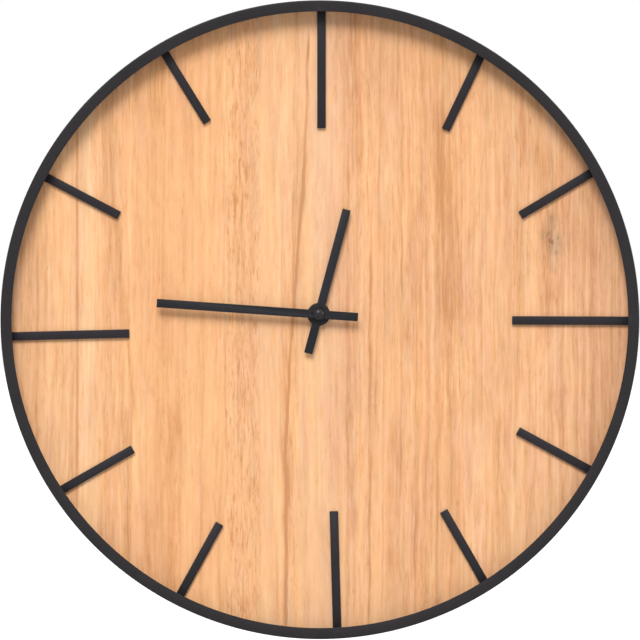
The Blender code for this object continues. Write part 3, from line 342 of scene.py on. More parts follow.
class Veneer(Surface):
    """The dial's wood. Its tone runs from 0, dark, to 1, light."""

    def __init__(self):
        super().__init__("dial_wood_grain", Specular_IOR_Level=0.2)
        self.straight = self.along("X")
        self.height = self.math("SUBTRACT", self.along("Z"), DIAL_MIDDLE)
        self.across = self.total(self.straight, *(
            self.weigh(self.noise(sizes, detail, place), reach)
            for sizes, detail, place, reach in WOOD_BENDS
        ))
        self.noises = {name: self.grain(*row) for name, row in WOOD_GRAINS.items()}
        for name, row in WOOD_CLOUDS.items():
            self.noises[name] = self.noise(*row)

    def grain(self, width, length, detail, place):
        """Noise drawn out along the grain."""
        inputs = {
            "X": self.math("DIVIDE", self.across, width), "Y": place,
            "Z": self.math("DIVIDE", self.height, length),
        }
        point = self.add("CombineXYZ", inputs).outputs[0]
        inputs = {"Vector": point, "Scale": 1.0, "Detail": detail}
        return self.add("TexNoise", inputs).outputs["Fac"]

    def weighed(self, weights):
        return self.total(*(
            self.weigh(self.noises[name], weight) for name, weight in weights.items()
        ))

    def strips(self):
        """The tone and the warmth of the strips, whose ends by the rim are partly painted shade."""
        span = RIM_RADIUS
        stops = [((MM * place + span) / (2 * span), (0.5 + tone, 0.5 + warmth / 2, 0))
                 for place, tone, warmth in WOOD_STRIPS_AND_RIM_SHADE]
        strips = self.ramp(self.remap(self.across, -span, span, 0.0, 1.0, "LINEAR"), *stops)
        strips = self.add("SeparateColor", {"Color": strips}).outputs
        return strips["Red"], strips["Green"]

    def liveliness(self):
        """How strong the grain is, less in the calm strips."""
        lively = LIVELY
        for middle, half in WOOD_CALM:
            off = self.aside(self.across, middle)
            lively = self.total(lively, self.remap(off, half, half + CALM_EDGE, -CALM_LOSS, 0.0))
        return lively

    def mark(self, where, middle, half, soft, shade, low, high, patchy):
        """A shade about the middle, between two heights, with its lengths in millimetres."""
        middle, half, soft, low, high = (MM * length for length in (middle, half, soft, low, high))
        reach = (high - low) / 2
        beyond = self.aside(self.height, (low + high) / 2)
        shown = self.times(self.remap(beyond, reach, reach + LINE_FADE, 1.0, 0.0), patchy)
        off = self.aside(where, middle)
        return self.times(self.remap(off, half, half + soft, shade, 0.0), shown)

    def marks(self):
        """The single lines and patches, and the joint between two strips."""
        patchy = self.times(
            self.remap(self.noises["patches"], 0.38, 0.6, 0.6, 1.15),
            self.remap(self.noises["hair"], 0.35, 0.65, 1.3, 0.7),
        )
        shades = [self.mark(self.straight, *WOOD_JOINT, 1.0)]
        for *line, lean in WOOD_LINES_AND_RIM_SHADE:
            where = self.total(self.across, self.times(self.height, -lean))
            shades.append(self.mark(where, *line, patchy))
        return self.total(*shades)

    def figure(self, column, lively):
        """Wavy dark lines, strongest in their own column."""
        drawn = self.remap(self.aside(self.noises["figure"], 0.5), 0.0, 0.035, 1.0, 0.0)
        shade = self.times(self.total(self.times(column, -0.14), -0.12), lively)
        ripples = self.remap(self.aside(self.noises["ripples"], 0.5), 0.0, 0.045, -0.17, 0.0)
        return self.total(self.times(drawn, shade), self.times(ripples, column))

    def pores(self, column):
        """Short dark pores, most in the column and in zones of their own."""
        pores = self.remap(self.noises["pores"], 0.56, 0.72, 0.0, 1.0)
        zones = self.remap(self.noises["pore_zones"], 0.5, 0.64, 0.1, 0.6)
        return self.times(pores, self.total(self.times(column, 0.8), zones))

    def pits(self):
        """The finest pores, most where the grain is dark."""
        pits = self.remap(self.noises["pits"], 0.6, 0.68, 0.0, 1.0)
        return self.times(pits, self.remap(self.noises["fine"], 0.4, 0.6, 1.0, 0.35))

    def knot(self):
        """The knot's cloud and the dark specks in it."""
        parts = []
        for way, middle, radius in zip((self.straight, self.height), KNOT, KNOT_RADII):
            part = self.math("DIVIDE", self.math("SUBTRACT", way, middle), radius)
            parts.append(self.times(part, part))
        apart = self.total(
            self.math("SQRT", self.total(*parts)), self.weighed({"mottle": 1.6, "cloud": 1.2})
        )
        specks = self.times(
            self.remap(self.noises["specks"], 0.54, 0.66, 0.0, 1.0),
            self.remap(apart, 0.2, 1.1, 1.0, 0.0),
        )
        return self.remap(apart, 0.35, 1.6, 1.0, 0.0), specks

    def casts(self, colour, warmth):
        """The colour with its strips and clouds warmer or cooler, greener or pinker."""
        cast = self.ramp(warmth, (0.0, COOL_CAST), (0.5, (1.0, 1.0, 1.0)), (1.0, WARM_CAST))
        colour = self.blend(1.0, colour, cast, "MULTIPLY")
        olive = self.ramp(self.noises["olive"], (0.3, PINK_CAST), (0.7, OLIVE_CAST))
        colour = self.blend(1.0, colour, olive, "MULTIPLY")
        for share, cast in zip(self.knot(), (KNOT_CAST, SPECK_CAST)):
            colour = self.blend(share, colour, cast, "MULTIPLY")
        return colour


def make_wood():
    wood = Veneer()
    strip_and_rim_shade_tone, strip_warmth = wood.strips()
    lively = wood.liveliness()
    middle, half, end = WOOD_COLUMN
    column = wood.remap(wood.aside(wood.across, middle), half, end, 1.0, 0.0)
    pores, pits = wood.pores(column), wood.pits()
    # The darkening towards the top is painted shade, standing in for the rim's soft shadow
    start, top, top_shade = WOOD_TOP_SHADE
    tone = wood.total(
        strip_and_rim_shade_tone, wood.times(wood.weighed(STREAK_WEIGHTS), lively), wood.weighed(CLOUD_WEIGHTS),
        wood.marks(), wood.remap(wood.height, start, top, 0.0, top_shade), wood.figure(column, lively),
        wood.times(pores, -0.3), wood.times(pits, -0.14),
    )
    warmth = wood.total(strip_warmth, wood.weighed(WARMTH_WEIGHTS), wood.times(pores, 0.24))
    wood.colour(wood.casts(wood.ramp(tone, *WOOD_TINTS), warmth))
    wood.rough(wood.noises["medium"], 0.5, 0.62)
    relief = wood.total(
        wood.weighed(RELIEF_WEIGHTS), wood.times(pores, -0.8), wood.times(pits, -0.5)
    )
    wood.bump(relief, 0.000016)
    return wood.material


def make_paint(name, base, seed):
    """Matt charcoal powder paint: a fine orange peel, and a painted highlight that makes its sharp
    edges slightly lighter.
    """
    paint = Surface(name, Specular_IOR_Level=0.24, IOR=1.45)
    peel = paint.noise(0.0011, 2.0, seed)
    cloud = paint.noise(0.03, 3.0, seed + 2)
    dust = paint.noise(0.0005, 1.0, seed + 5)
    dark, light, highlight_colour = (tuple(share * part for part in base) for share in (0.86, 1.16, 2.2))
    colour = paint.ramp(cloud, (0.3, dark), (0.7, light))
    # Painted highlight: where the surface turns sharply its colour is lighter, as if light caught
    # the edge
    edge = paint.add("NewGeometry").outputs["Pointiness"]
    edge_highlight = paint.remap(edge, 0.53, 0.62, 0.0, 0.35)
    paint.colour(paint.blend(edge_highlight, colour, highlight_colour))
    paint.rough(paint.total(paint.weigh(peel, 0.6), paint.weigh(dust, 0.6), 0.5), 0.42, 0.58)
    paint.bump(paint.total(peel, paint.weigh(dust, 0.35)), 0.00003)
    return paint.material


def make_gloss_paint():
    """The cap's paint, which shows the lights as small glints."""
    gloss = Surface("cap_gloss_paint", Specular_IOR_Level=0.24)
    peel = gloss.noise(0.0018, 1.0, 31.0)
    gloss.colour(gloss.ramp(peel, (0.3, (0.015, 0.014, 0.015)), (0.7, (0.021, 0.02, 0.021))))
    gloss.rough(peel, 0.14, 0.22)
    gloss.bump(peel, 0.00006)
    return gloss.material


def make_fibreboard():
    board = Surface("raw_fibreboard", Specular_IOR_Level=0.2)
    flecks = board.noise(0.003, 3.0, 2.0, twist=1.6)
    strands = board.noise(0.0011, 2.0, 6.0, twist=0.8)
    cloud = board.noise(0.06, 3.0, 9.0)
    mix = board.total(
        board.weigh(flecks, 0.8), board.weigh(strands, 0.8), board.weigh(cloud, 0.5), 0.5
    )
    board.colour(board.ramp(
        mix, (0.15, tint(128, 96, 66)), (0.5, tint(163, 128, 92)), (0.85, tint(190, 156, 118))
    ))
    board.rough(mix, 0.78, 0.92)
    board.bump(mix, 0.00012)
    return board.material


def make_metal(name, dark, light, rough, grain, seed):
    """Bare or plated metal with a drawn or tumbled grain and patchy gloss."""
    metal = Surface(name, Metallic=1.0)
    lines = metal.noise(grain, 3.0, seed)
    patches = metal.noise(0.006, 3.0, seed + 3)
    mix = metal.total(metal.weigh(lines, 0.7), metal.weigh(patches, 0.8), 0.5)
    metal.colour(metal.ramp(mix, (0.25, dark), (0.75, light)))
    metal.rough(mix, rough - 0.08, rough + 0.1)
    metal.bump(lines, 0.00001)
    return metal.material


def make_plastic(name, dark, light, rough, texture, seed, depth, **constants):
    """Moulded plastic with a spark-eroded skin."""
    plastic = Surface(name, **constants)
    skin = plastic.noise(texture, 2.0, seed)
    cloud = plastic.noise(0.015, 2.0, seed + 4)
    mix = plastic.total(plastic.weigh(skin, 0.6), plastic.weigh(cloud, 0.9), 0.5)
    plastic.colour(plastic.ramp(mix, (0.25, dark), (0.75, light)))
    plastic.rough(skin, rough - 0.06, rough + 0.08)
    plastic.bump(skin, depth)
    return plastic.material


def make_circuit():
    """Green solder resist over slightly bent copper tracks."""
    board = Surface("solder_resist", Coat_Weight=0.3)
    bends = board.weigh(board.noise(0.004, 0.0, 3.0), 0.0009)
    pitch = 0.0006
    pairs = board.math("DIVIDE", board.total(board.along("X"), bends), pitch)
    tracks = board.remap(board.math("PINGPONG", pairs, 1.0), 0.55, 0.62, 0.0, 1.0)
    weave = board.noise(0.0006, 2.0, 4.0)
    green = board.ramp(weave, (0.3, (0.02, 0.15, 0.05)), (0.7, (0.04, 0.22, 0.08)))
    board.colour(board.blend(tracks, green, (0.08, 0.34, 0.13)))
    board.rough(weave, 0.3, 0.45)
    board.bump(tracks, 0.00002)
    return board.material


def make_winding():
    """Enamelled copper wire, in turns square to the coil's upright axis."""
    coil = Surface("copper_turns", Metallic=1.0)
    wire = 0.0001
    turns = coil.math("PINGPONG", coil.math("DIVIDE", coil.along("Z"), wire), 1.0)
    shade = coil.noise(0.002, 2.0, 5.0)
    coil.colour(coil.ramp(shade, (0.3, (0.48, 0.17, 0.06)), (0.7, (0.72, 0.31, 0.13))))
    coil.rough(shade, 0.22, 0.36)
    coil.bump(turns, 0.00005)
    return coil.material


RIM_COLOUR = (0.0176, 0.0155, 0.0172)
BAR_COLOUR = (0.0154, 0.0132, 0.016)
HAND_COLOUR = (0.0116, 0.0117, 0.015)
BLACKS = (0.012, 0.012, 0.013), (0.022, 0.022, 0.024)
ACETALS = (0.66, 0.66, 0.62), (0.8, 0.8, 0.76)
RESINS = (0.008,) * 3, (0.016,) * 3
MAGNETS = (0.05,) * 3, (0.11,) * 3
SLEEVES = (0.055, 0.062, 0.07), (0.085, 0.094, 0.104)
ZINCS = tint(168, 172, 176), tint(206, 208, 206)
NICKELS = tint(190, 188, 182), tint(222, 220, 214)
IRONS = tint(118, 118, 120), tint(156, 156, 158)
BRASSES = tint(176, 138, 66), tint(216, 178, 98)

# The finish of each of the record's material slots
MATERIALS = {
    "rim_paint": make_paint("rim_powder_paint", RIM_COLOUR, 1.4),
    "bar_paint": make_paint("bar_powder_paint", BAR_COLOUR, 11.4),
    "hand_paint": make_paint("hand_powder_paint", HAND_COLOUR, 21.4),
    "dial_wood": make_wood(),
    "fibreboard": make_fibreboard(),
    "zinc_steel": make_metal("zinc_plate", *ZINCS, 0.34, 0.0015, 2.4),
    "spring_steel": make_metal("nickel_strip", *NICKELS, 0.26, (0.0004, 0.0004, 0.008), 4.4),
    "soft_iron": make_metal("soft_iron_sheet", *IRONS, 0.42, 0.001, 6.4),
    "rubber": make_plastic("black_rubber", *BLACKS, 0.82, 0.0006, 8.4, 0.00004),
    "case_plastic": make_plastic("case_moulding", *BLACKS, 0.48, 0.0005, 10.4, 0.00003),
    "gear_plastic": make_plastic(
        "acetal", *ACETALS, 0.36, 0.0012, 12.4, 0.00001,
        Subsurface_Weight=0.15, Subsurface_Scale=0.001,
    ),
    "chip_resin": make_plastic(
        "cast_resin", *RESINS, 0.22, 0.0009, 14.4, 0.00003, Coat_Weight=0.4
    ),
    "circuit_laminate": make_circuit(),
    "brass": make_metal("turned_brass", *BRASSES, 0.28, (0.006, 0.0004, 0.006), 16.4),
    "copper_wire": make_winding(),
    "magnet": make_plastic("sintered_magnet", *MAGNETS, 0.5, 0.0003, 18.4, 0.00002),
    "battery_wrap": make_plastic(
        "battery_sleeve", *SLEEVES, 0.26, 0.004, 20.4, 0.00002,
        Coat_Weight=0.5, Coat_Roughness=0.1,
    ),
}


# Meshes


def placed(name, data):
    """A new object in the scene."""
    thing = bpy.data.objects.new(name, data)
    bpy.context.scene.collection.objects.link(thing)
    return thing


@contextmanager
def opened(mesh):
    """The mesh as a bmesh, which goes back into it at the end."""
    shape = bmesh.new()
    shape.from_mesh(mesh)
    yield shape
    shape.to_mesh(mesh)
    shape.free()


def lathe(profile, sides, closed=False):
    """A profile of (radius, height) points turned about Z, with one vertex for each on the axis."""
    verts, rings = [], []
    for radius, height in profile:
        count = sides if radius > 0 else 1
        rings.append(list(range(len(verts), len(verts) + count)))
        for side in range(count):
            turn = 2 * pi * side / sides
            verts.append((radius * cos(turn), radius * sin(turn), height))
    pairs = list(zip(rings, rings[1:]))
    if closed:
        pairs.append((rings[-1], rings[0]))
    faces = []
    for first, second in pairs:
        for side in range(sides):
            following = (side + 1) % sides
            corners = [first[side % len(first)], second[side % len(second)],
                       second[following % len(second)], first[following % len(first)]]
            corners = list(dict.fromkeys(corners))
            if len(corners) > 2:
                faces.append(corners)
    mesh = bpy.data.meshes.new("turned")
    mesh.from_pydata(verts, [], faces)
    return outward(mesh)


def outward(mesh):
    """The mesh with its double points merged and all its faces looking out."""
    with opened(mesh) as shape:
        bmesh.ops.remove_doubles(shape, verts=shape.verts, dist=SAME_POINT)
        bmesh.ops.recalc_face_normals(shape, faces=shape.faces)
    return mesh


def polar(radius, heading):
    return radius * cos(radians(heading)), radius * sin(radians(heading))


def arc(radius, at, start, end, steps):
    """Points on an arc between two headings."""
    turns = [radians(start + (end - start) * step / steps) for step in range(steps + 1)]
    return [(at[0] + radius * cos(turn), at[1] + radius * sin(turn)) for turn in turns]


def ring_of(radius, sides, at=(0, 0)):
    return arc(radius, at, 0, 360, sides)[:-1]


def rectangle(left, bottom, right, top):
    return [(left, bottom), (right, bottom), (right, top), (left, top)]


def rounded(left, bottom, right, top, radius, steps=6):
    centres = rectangle(left + radius, bottom + radius, right - radius, top - radius)
    return [
        point for quarter, centre in enumerate(centres[2:] + centres[:2])
        for point in arc(radius, centre, 90 * quarter, 90 * quarter + 90, steps)
    ]


def evaluated_mesh(thing):
    """The mesh of an object with its modifiers, in place of the object."""
    evaluated = thing.evaluated_get(bpy.context.evaluated_depsgraph_get())
    mesh = bpy.data.meshes.new_from_object(evaluated)
    bpy.data.objects.remove(thing, do_unlink=True)
    return mesh


def soften(mesh, width, segments=2, least=30.0):
    """Rounds every edge that turns by more than the least angle."""
    with opened(mesh) as shape:
        bmesh.ops.remove_doubles(shape, verts=shape.verts, dist=CLOSE_POINT)
        bmesh.ops.dissolve_limit(
            shape, angle_limit=radians(1), verts=shape.verts, edges=shape.edges
        )
        sharp = [edge for edge in shape.edges
                 if len(edge.link_faces) == 2 and edge.calc_face_angle(0) > radians(least)]
        bmesh.ops.bevel(
            shape, geom=sharp, offset=width, offset_type="OFFSET", segments=segments, profile=0.5,
            affect="EDGES", clamp_overlap=True,
        )
    return mesh


def plate(loops, low, high, edge=0.0, segments=2):
    """A flat outline, with any holes, between two heights, its edges rounded."""
    curve = bpy.data.curves.new("outline", "CURVE")
    curve.dimensions = "2D"
    curve.fill_mode = "BOTH"
    curve.extrude = (high - low) / 2
    for loop in loops:
        spline = curve.splines.new("POLY")
        spline.points.add(len(loop) - 1)
        for point, (across, up) in zip(spline.points, loop):
            point.co = (across, up, 0, 1)
        spline.use_cyclic_u = True
    mesh = evaluated_mesh(placed("outline", curve))
    mesh.transform(shift(0, 0, (low + high) / 2))
    return soften(mesh, edge, segments) if edge else outward(mesh)


def box(low, high, edge=0.0):
    return plate([rectangle(low[0], low[1], high[0], high[1])], low[2], high[2], edge)


def combine(mesh, tools, operation="DIFFERENCE"):
    """The mesh without the tools, or what it has in common with them."""
    thing = placed("worked", mesh)
    holders = [placed("tool", tool) for tool in tools]
    for holder in holders:
        modifier = thing.modifiers.new("Work", "BOOLEAN")
        modifier.operation = operation
        modifier.object = holder
    result = evaluated_mesh(thing)
    for holder in holders:
        bpy.data.objects.remove(holder, do_unlink=True)
    return result


def merged(*meshes):
    """Several meshes as one, side by side."""
    result = bpy.data.meshes.new("merged")
    with opened(result) as shape:
        for mesh in meshes:
            shape.from_mesh(mesh)
    return result


def cleaned(mesh):
    """The mesh without the faces of no area that cuts and many-sided faces leave."""
    with opened(mesh) as shape:
        many_sided = [face for face in shape.faces if len(face.verts) > 4]
        bmesh.ops.triangulate(shape, faces=many_sided, ngon_method="BEAUTY")
        bmesh.ops.dissolve_degenerate(shape, dist=NO_LENGTH, edges=shape.edges)
    return mesh


def moved(mesh, matrix):
    mesh.transform(matrix)
    return mesh


def spin(angle, axis="Z"):
    return Matrix.Rotation(radians(angle), 4, axis)


def shift(across, up, out=0.0):
    return Matrix.Translation((across, up, out))


HUB = shift(*AXIS)
UPRIGHT = shift(0, DIAL_FACE, DIAL_MIDDLE) @ spin(90, "X")


def add_piece(name, mesh, slot, body="frame", nodes=()):
    """A piece that rides on a body, has a slot's finish and stands for CAD nodes."""
    cleaned(mesh).transform(UPRIGHT)
    mesh.materials.clear()
    mesh.materials.append(MATERIALS[slot])
    mesh.shade_smooth()
    mesh.set_sharp_from_angle(angle=radians(SMOOTH_ANGLE))
    piece = placed(name, mesh)
    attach(piece, body)
    if nodes:
        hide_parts(*nodes)
    return piece


def bead(start, end, radius, seed=0.0):
    """A short weld with ripples, lying along a line."""
    start, end = Vector(start), Vector(end)
    length = (end - start).length
    step_length, ripple_length, sides = 0.0004, 0.0013, 10
    steps = max(8, int(length / step_length))
    profile = [(0, 0)]
    for step in range(1, steps):
        along = step / steps
        swell = sin(pi * along) ** 0.25
        ripple = 0.88 + 0.12 * cos(2 * pi * along * length / ripple_length + seed)
        profile.append((radius * swell * ripple, along * length))
    profile.append((0, length))
    mesh = lathe(profile, sides)
    mesh.transform((end - start).to_track_quat("Z", "Y").to_matrix().to_4x4())
    mesh.transform(shift(*start))
    return mesh


# The clock's front


def make_rim():
    front, back = DIAL_FACE - RIM_LOW.y, DIAL_FACE - RIM_HIGH.y
    outside, inside = RIM_RADIUS, RIM_RADIUS - RIM_THICKNESS
    bend, crease, edge = RIM_BEND, RIM_CREASE, RIM_EDGE
    profile = (
        arc(edge, (RIM_OPENING + edge, front - edge), 180, 90, 3)
        + arc(bend, (outside - bend, front - bend), 90, 0, 6)
        + arc(edge, (outside - edge, back + edge), 0, -90, 3)
        + arc(edge, (inside + edge, back + edge), -90, -180, 3)
        + arc(crease, (inside - crease, front - RIM_THICKNESS - crease), 0, 90, 4)
        + arc(edge, (RIM_OPENING + edge, front - RIM_THICKNESS + edge), 270, 180, 3)
    )
    add_piece("rim_ring", lathe(profile, RIM_SIDES, closed=True), "rim_paint", nodes=["rim"])
    radius, inset, wall = 0.0011, 0.0008, 0.0002 - inside
    low, high = back + inset, local_box("dial_board")[0].z - inset
    add_piece("rim_seam_weld", bead((0, wall, low), (0, wall, high), radius), "rim_paint")


def make_bars():
    low, high = BAR_LIFT, BAR_LIFT + BAR_THICKNESS
    for hour, (stray, lean, inset) in enumerate(zip(BAR_STRAYS, BAR_LEANS, BAR_INSETS)):
        inner = (BAR_SHORT if hour % 3 else BAR_LONG) + inset
        outer = BAR_TUCK - inset
        mesh = box((-BAR_WIDTH / 2, -inner, low), (BAR_WIDTH / 2, outer, high), BAR_EDGE)
        at_rim = 30 * hour + stray
        mesh.transform(shift(*polar(RIM_OPENING, 90 - at_rim)) @ spin(-at_rim - lean))
        number = f"{hour or 12:02d}"
        add_piece(f"bar_{number}", mesh, "bar_paint", nodes=[f"hour_bar_{number}"])


def hand_outline(reach, tail, disc):
    """A flat bar with, where disc isn't zero, a round boss."""
    half = HAND_WIDTH / 2
    if not disc:
        return rectangle(-half, -tail, half, reach)
    meet = degrees(asin(sqrt(disc * disc - half * half) / disc))
    right = arc(disc, (0, 0), -meet, meet, 16)
    left = arc(disc, (0, 0), 180 - meet, 180 + meet, 16)
    return [(-half, -tail), (half, -tail), *right, (half, reach), (-half, reach), *left]


def collar(hole, top):
    """The pressed ring under a hand."""
    outer, bottom, chamfer = hole + 0.0012, top - 0.0005, 0.0003
    return lathe([
        (hole, top), (outer, top), (outer, bottom + chamfer), (outer - chamfer, bottom),
        (hole, bottom),
    ], 48, closed=True)


def make_hands():
    for name, (reach, tail, disc, hole, angle) in HANDS.items():
        node = f"{name}_hand"
        low, high = local_heights(node)
        loops = [hand_outline(reach, tail, disc), ring_of(hole, 32)]
        mesh = moved(plate(loops, low, high, HAND_EDGE), HUB @ spin(-angle))
        add_piece(f"{name}_blade", mesh, "hand_paint", name, [node])
        add_piece(f"{name}_hub", moved(collar(hole, low), HUB), "hand_paint", name)


def make_cap():
    low, high = local_heights("hand_cap")
    crown = high - low - CAP_RIM
    curve = (CAP_RADIUS ** 2 + crown ** 2) / (2 * crown)
    sweep = degrees(asin(CAP_RADIUS / curve))
    dome = arc(curve, (0, high - curve), 90, 90 - sweep, 14)
    waist, roof = CAP_RADIUS - 0.00015, high - 0.0014
    profile = [
        (0, high), *dome[1:],
        (CAP_RADIUS, low + 0.0005), (waist, low + 0.00035), (waist, low + 0.0002),
        (CAP_RADIUS, low + 0.0001), (CAP_RADIUS, low), (MINUTE_HOLE, low), (MINUTE_HOLE, roof),
        (0, roof),
    ]
    mesh = moved(lathe(profile, 64), HUB)
    piece = add_piece("cap_dome", mesh, "hand_paint", "minute", ["hand_cap"])
    piece.data.materials[0] = make_gloss_paint()


# The rim's inner fittings


def angle_outline(inner, outer, flat, tip):
    """An angle's section: a leg along the radius at the flat height, the other to the tip."""
    way = 1 if tip > flat else -1
    bend, centre = ANGLE_BEND, (outer - ANGLE_BEND, flat + way * ANGLE_BEND)
    outer_arc = arc(bend, centre, -90 * way, 0, 6)
    inner_arc = arc(bend - PLATE, centre, 0, -90 * way, 6)
    inside = outer - PLATE
    return [(inner, flat), *outer_arc, (outer, tip), (inside, tip), *inner_arc,
            (inner, flat + way * PLATE)]


def weld_pair(outer, half, start, end):
    """The beads down both sides of an angle's upright leg."""
    radius, sunk, beside = 0.0009, 0.0001, 0.0002
    return merged(*(
        bead((outer - sunk, side * (half + beside), start),
             (outer - sunk, side * (half + beside), end), radius, side)
        for side in (-1, 1)
    ))


def make_angle(piece, node, size, flat, tip, angle, cutters=()):
    """A bent angle with rounded corners, welded inside the rim at this heading."""
    width, leg = size
    half = width / 2
    outer = sqrt(SEAT * SEAT - half * half)
    inner = outer - leg
    section = plate([angle_outline(inner, outer, flat, tip)], -half, half)
    mesh = moved(section, spin(90, "X"))
    corner = min(ANGLE_CORNER, half / 2)
    outline = rounded(inner, -half, outer + 2 * corner, half, corner)
    mesh = combine(mesh, [plate([outline], -0.05, 0.05)], "INTERSECT")
    if cutters:
        mesh = combine(mesh, [moved(cutter, spin(-angle)) for cutter in cutters])
    mesh = moved(soften(mesh, 0.0002, 1, 40.0), spin(angle))
    add_piece(piece, mesh, "rim_paint", nodes=[node])
    way = 1 if tip > flat else -1
    past_bend, short = 0.004, 0.0008
    welds = weld_pair(outer, half, flat + way * past_bend, tip - way * short)
    add_piece(f"{piece}_weld", moved(welds, spin(angle)), "rim_paint")


def make_screw_mesh(seat):
    """A pan head with a cross recess, its crown at the back."""
    radius, rise, wall = 0.0035, 0.0018, 0.0005
    shank, depth = 0.0014, 0.003
    profile = [(0, seat + depth), (shank, seat + depth), (shank, seat), (radius, seat)]
    for step in range(9):
        turn = radians(10 * step)
        profile.append((radius * cos(turn) ** 0.6, seat - wall - (rise - wall) * sin(turn)))
    profile.append((0, seat - rise))
    head = lathe(profile, 40)
    reach, tip, root, sunk = 0.0019, 0.0003, 0.00046, 0.0009
    arm = [(reach, -tip), (reach, tip), (root, root)]
    cross = [(across * cos(turn) - up * sin(turn), across * sin(turn) + up * cos(turn))
             for turn in (0, pi / 2, pi, 3 * pi / 2) for across, up in arm]
    recess = plate([cross], seat - rise - OVERRUN / 2, seat - rise + sunk)
    return combine(head, [recess])


def make_brackets():
    low, high = local_heights("rim_bracket_1")
    for number, angle in enumerate(BRACKET_ANGLES, 1):
        make_angle(f"bracket_{number}", f"rim_bracket_{number}", BRACKET, high, low, angle)
        seat = high - PLATE - GAP
        place = shift(*polar(SCREW_RADIUS, angle)) @ spin(SCREW_TURN * number)
        mesh = moved(make_screw_mesh(seat), place)
        add_piece(f"cross_screw_{number}", mesh, "zinc_steel", nodes=[f"bracket_screw_{number}"])


def make_hanger():
    low, high = local_heights("hanger_plate")
    slot, entry, travel = 0.0023, 0.0045, 0.011
    lift = degrees(atan2(sqrt(entry * entry - slot * slot), slot))
    outline = arc(slot, (0, HOOK_RADIUS), 0, 180, 16)
    outline += arc(entry, (0, HOOK_RADIUS - travel), 180 - lift, 360 + lift, 40)
    keyhole = plate([outline], low - OVERRUN, low + 2 * OVERRUN)
    make_angle("hanger", "hanger_plate", HANGER, low, high, HANGER_ANGLE, [keyhole])


def bumper_profile(wall, front, plate_low):
    """A rubber bumper: a barbed stem through its tab and a soft foot for the wall."""
    tip, stem, barb, foot = 0.0016, 0.0022, 0.0028, 0.0057
    seat, head = plate_low - GAP, plate_low + PLATE + GAP
    profile = [(0, front), (tip, front), (stem, front - 0.0003), (barb, head), (stem, head)]
    profile += [(stem, seat), (foot, seat)]
    profile += arc(0.0003, (foot, seat - 0.0003), 90, 0, 3)
    profile += arc(0.0006, (foot - 0.0003, wall + 0.0006), 0, -90, 4)
    return profile + [(0.003, wall), (0.0026, wall + 0.0004), (0, wall + 0.0006)]


def make_bumpers():
    for side, angle in zip(("left", "right"), BUMPER_ANGLES):
        low, high = local_heights(f"bumper_tab_{side}")
        place = shift(*polar(BUMPER_PLACE, angle))
        hole = plate([ring_of(BUMPER_HOLE, 32)], low - OVERRUN, low + 2 * OVERRUN)
        tab = f"bumper_tab_{side}"
        make_angle(f"tab_{side}", tab, TAB, low, high, angle, [moved(hole, place)])
        wall, front = local_heights(f"wall_bumper_{side}")
        mesh = moved(lathe(bumper_profile(wall, front, low), 48), place)
        add_piece(f"bumper_{side}", mesh, "rubber", nodes=[f"wall_bumper_{side}"])


# The movement


def case_cuts(low, high):
    """The rooms for the cover, the train and the cell, the bushing's hole and a thumb scallop."""
    cover_low, cover_high = local_box("movement_cover")
    cell_low, cell_high = local_box("battery")
    left, right = local_box("battery_contact_minus")[0].x, local_box("battery_contact_plus")[1].x
    behind = low.z - OVERRUN
    wall, ledge, floor, thumb = 0.0012, 0.001, 0.0008, 0.0075
    start, bottom = cover_low.x - GAP, cover_low.y - GAP
    end, top = cover_high.x + GAP, cover_high.y + GAP
    rooms = [
        ((start, bottom, behind), (end, top, cover_high.z + GAP)),
        ((start + ledge, bottom, behind), (end - ledge, top - ledge, high.z - wall)),
        ((left - GAP, cell_low.y - GAP, behind), (right + GAP, cell_high.y + GAP, high.z - floor)),
    ]
    hole = plate([ring_of(BUSHING_HOLE, 48)], high.z - 0.01, high.z + OVERRUN)
    middle = (cell_low.x + cell_high.x) / 2
    scallop = plate([ring_of(thumb, 48, (middle, low.z))], -0.003, 0.003)
    return [
        *(box(*corners) for corners in rooms),
        moved(hole, HUB), moved(scallop, shift(0, low.y) @ spin(90, "X")),
    ]


def make_case():
    low, high = local_box("movement_case")
    corner, edge, inner_edge = 0.003, 0.0005, 0.00018
    shell = plate([rounded(low.x, low.y, high.x, high.y, corner)], low.z, high.z)
    mesh = soften(combine(soften(shell, edge, 3), case_cuts(low, high)), inner_edge, 1, 50.0)
    add_piece("case_shell", mesh, "case_plastic", nodes=["movement_case"])


def arrow_outline(radius, width, start, end):
    """A band clockwise round the knob that ends in an arrowhead."""
    outer, inner = radius + width / 2, radius - width / 2
    barb = 1.4 * width
    tip = degrees(3.2 * width / radius)
    head = [polar(radius + barb, end), polar(radius, end - tip), polar(radius - barb, end)]
    return arc(outer, (0, 0), start, end, 24) + head + arc(inner, (0, 0), end, start, 24)


def cover_details(low, high, knob):
    """What stands proud of the cover: arrow, polarity marks, ejector rings and a frame."""
    raised, top = low.z - 0.00025, low.z + 0.0002
    long, thin = 0.0012, 0.00025
    arrow = plate([arrow_outline(0.0078, 0.0007, 150, 20)], raised, top)
    details = [moved(arrow, shift(*knob))]
    for side, wide, tall, face in (
        (-1, long, thin, raised), (1, long, thin, raised), (1, thin, long, raised - 0.00001)
    ):
        mark = plate([rectangle(-wide, -tall, wide, tall)], face, top)
        details.append(moved(mark, shift(AXIS[0] + side * 0.0225, low.y + 0.0026)))
    for across, up in ((-0.021, 0.029), (0.021, 0.029), (0.021, 0.002), (0.004, 0.004)):
        at = (AXIS[0] + across, up)
        details.append(plate([ring_of(0.0016, 32, at), ring_of(0.0013, 32, at)], raised, top))
    frames = [
        rounded(low.x + inset, low.y + inset + 0.0024, high.x - inset, high.y - inset, corner)
        for inset, corner in ((0.0022, 0.002), (0.0028, 0.0015))
    ]
    details.append(plate(frames, raised + 0.0001, top))
    return details


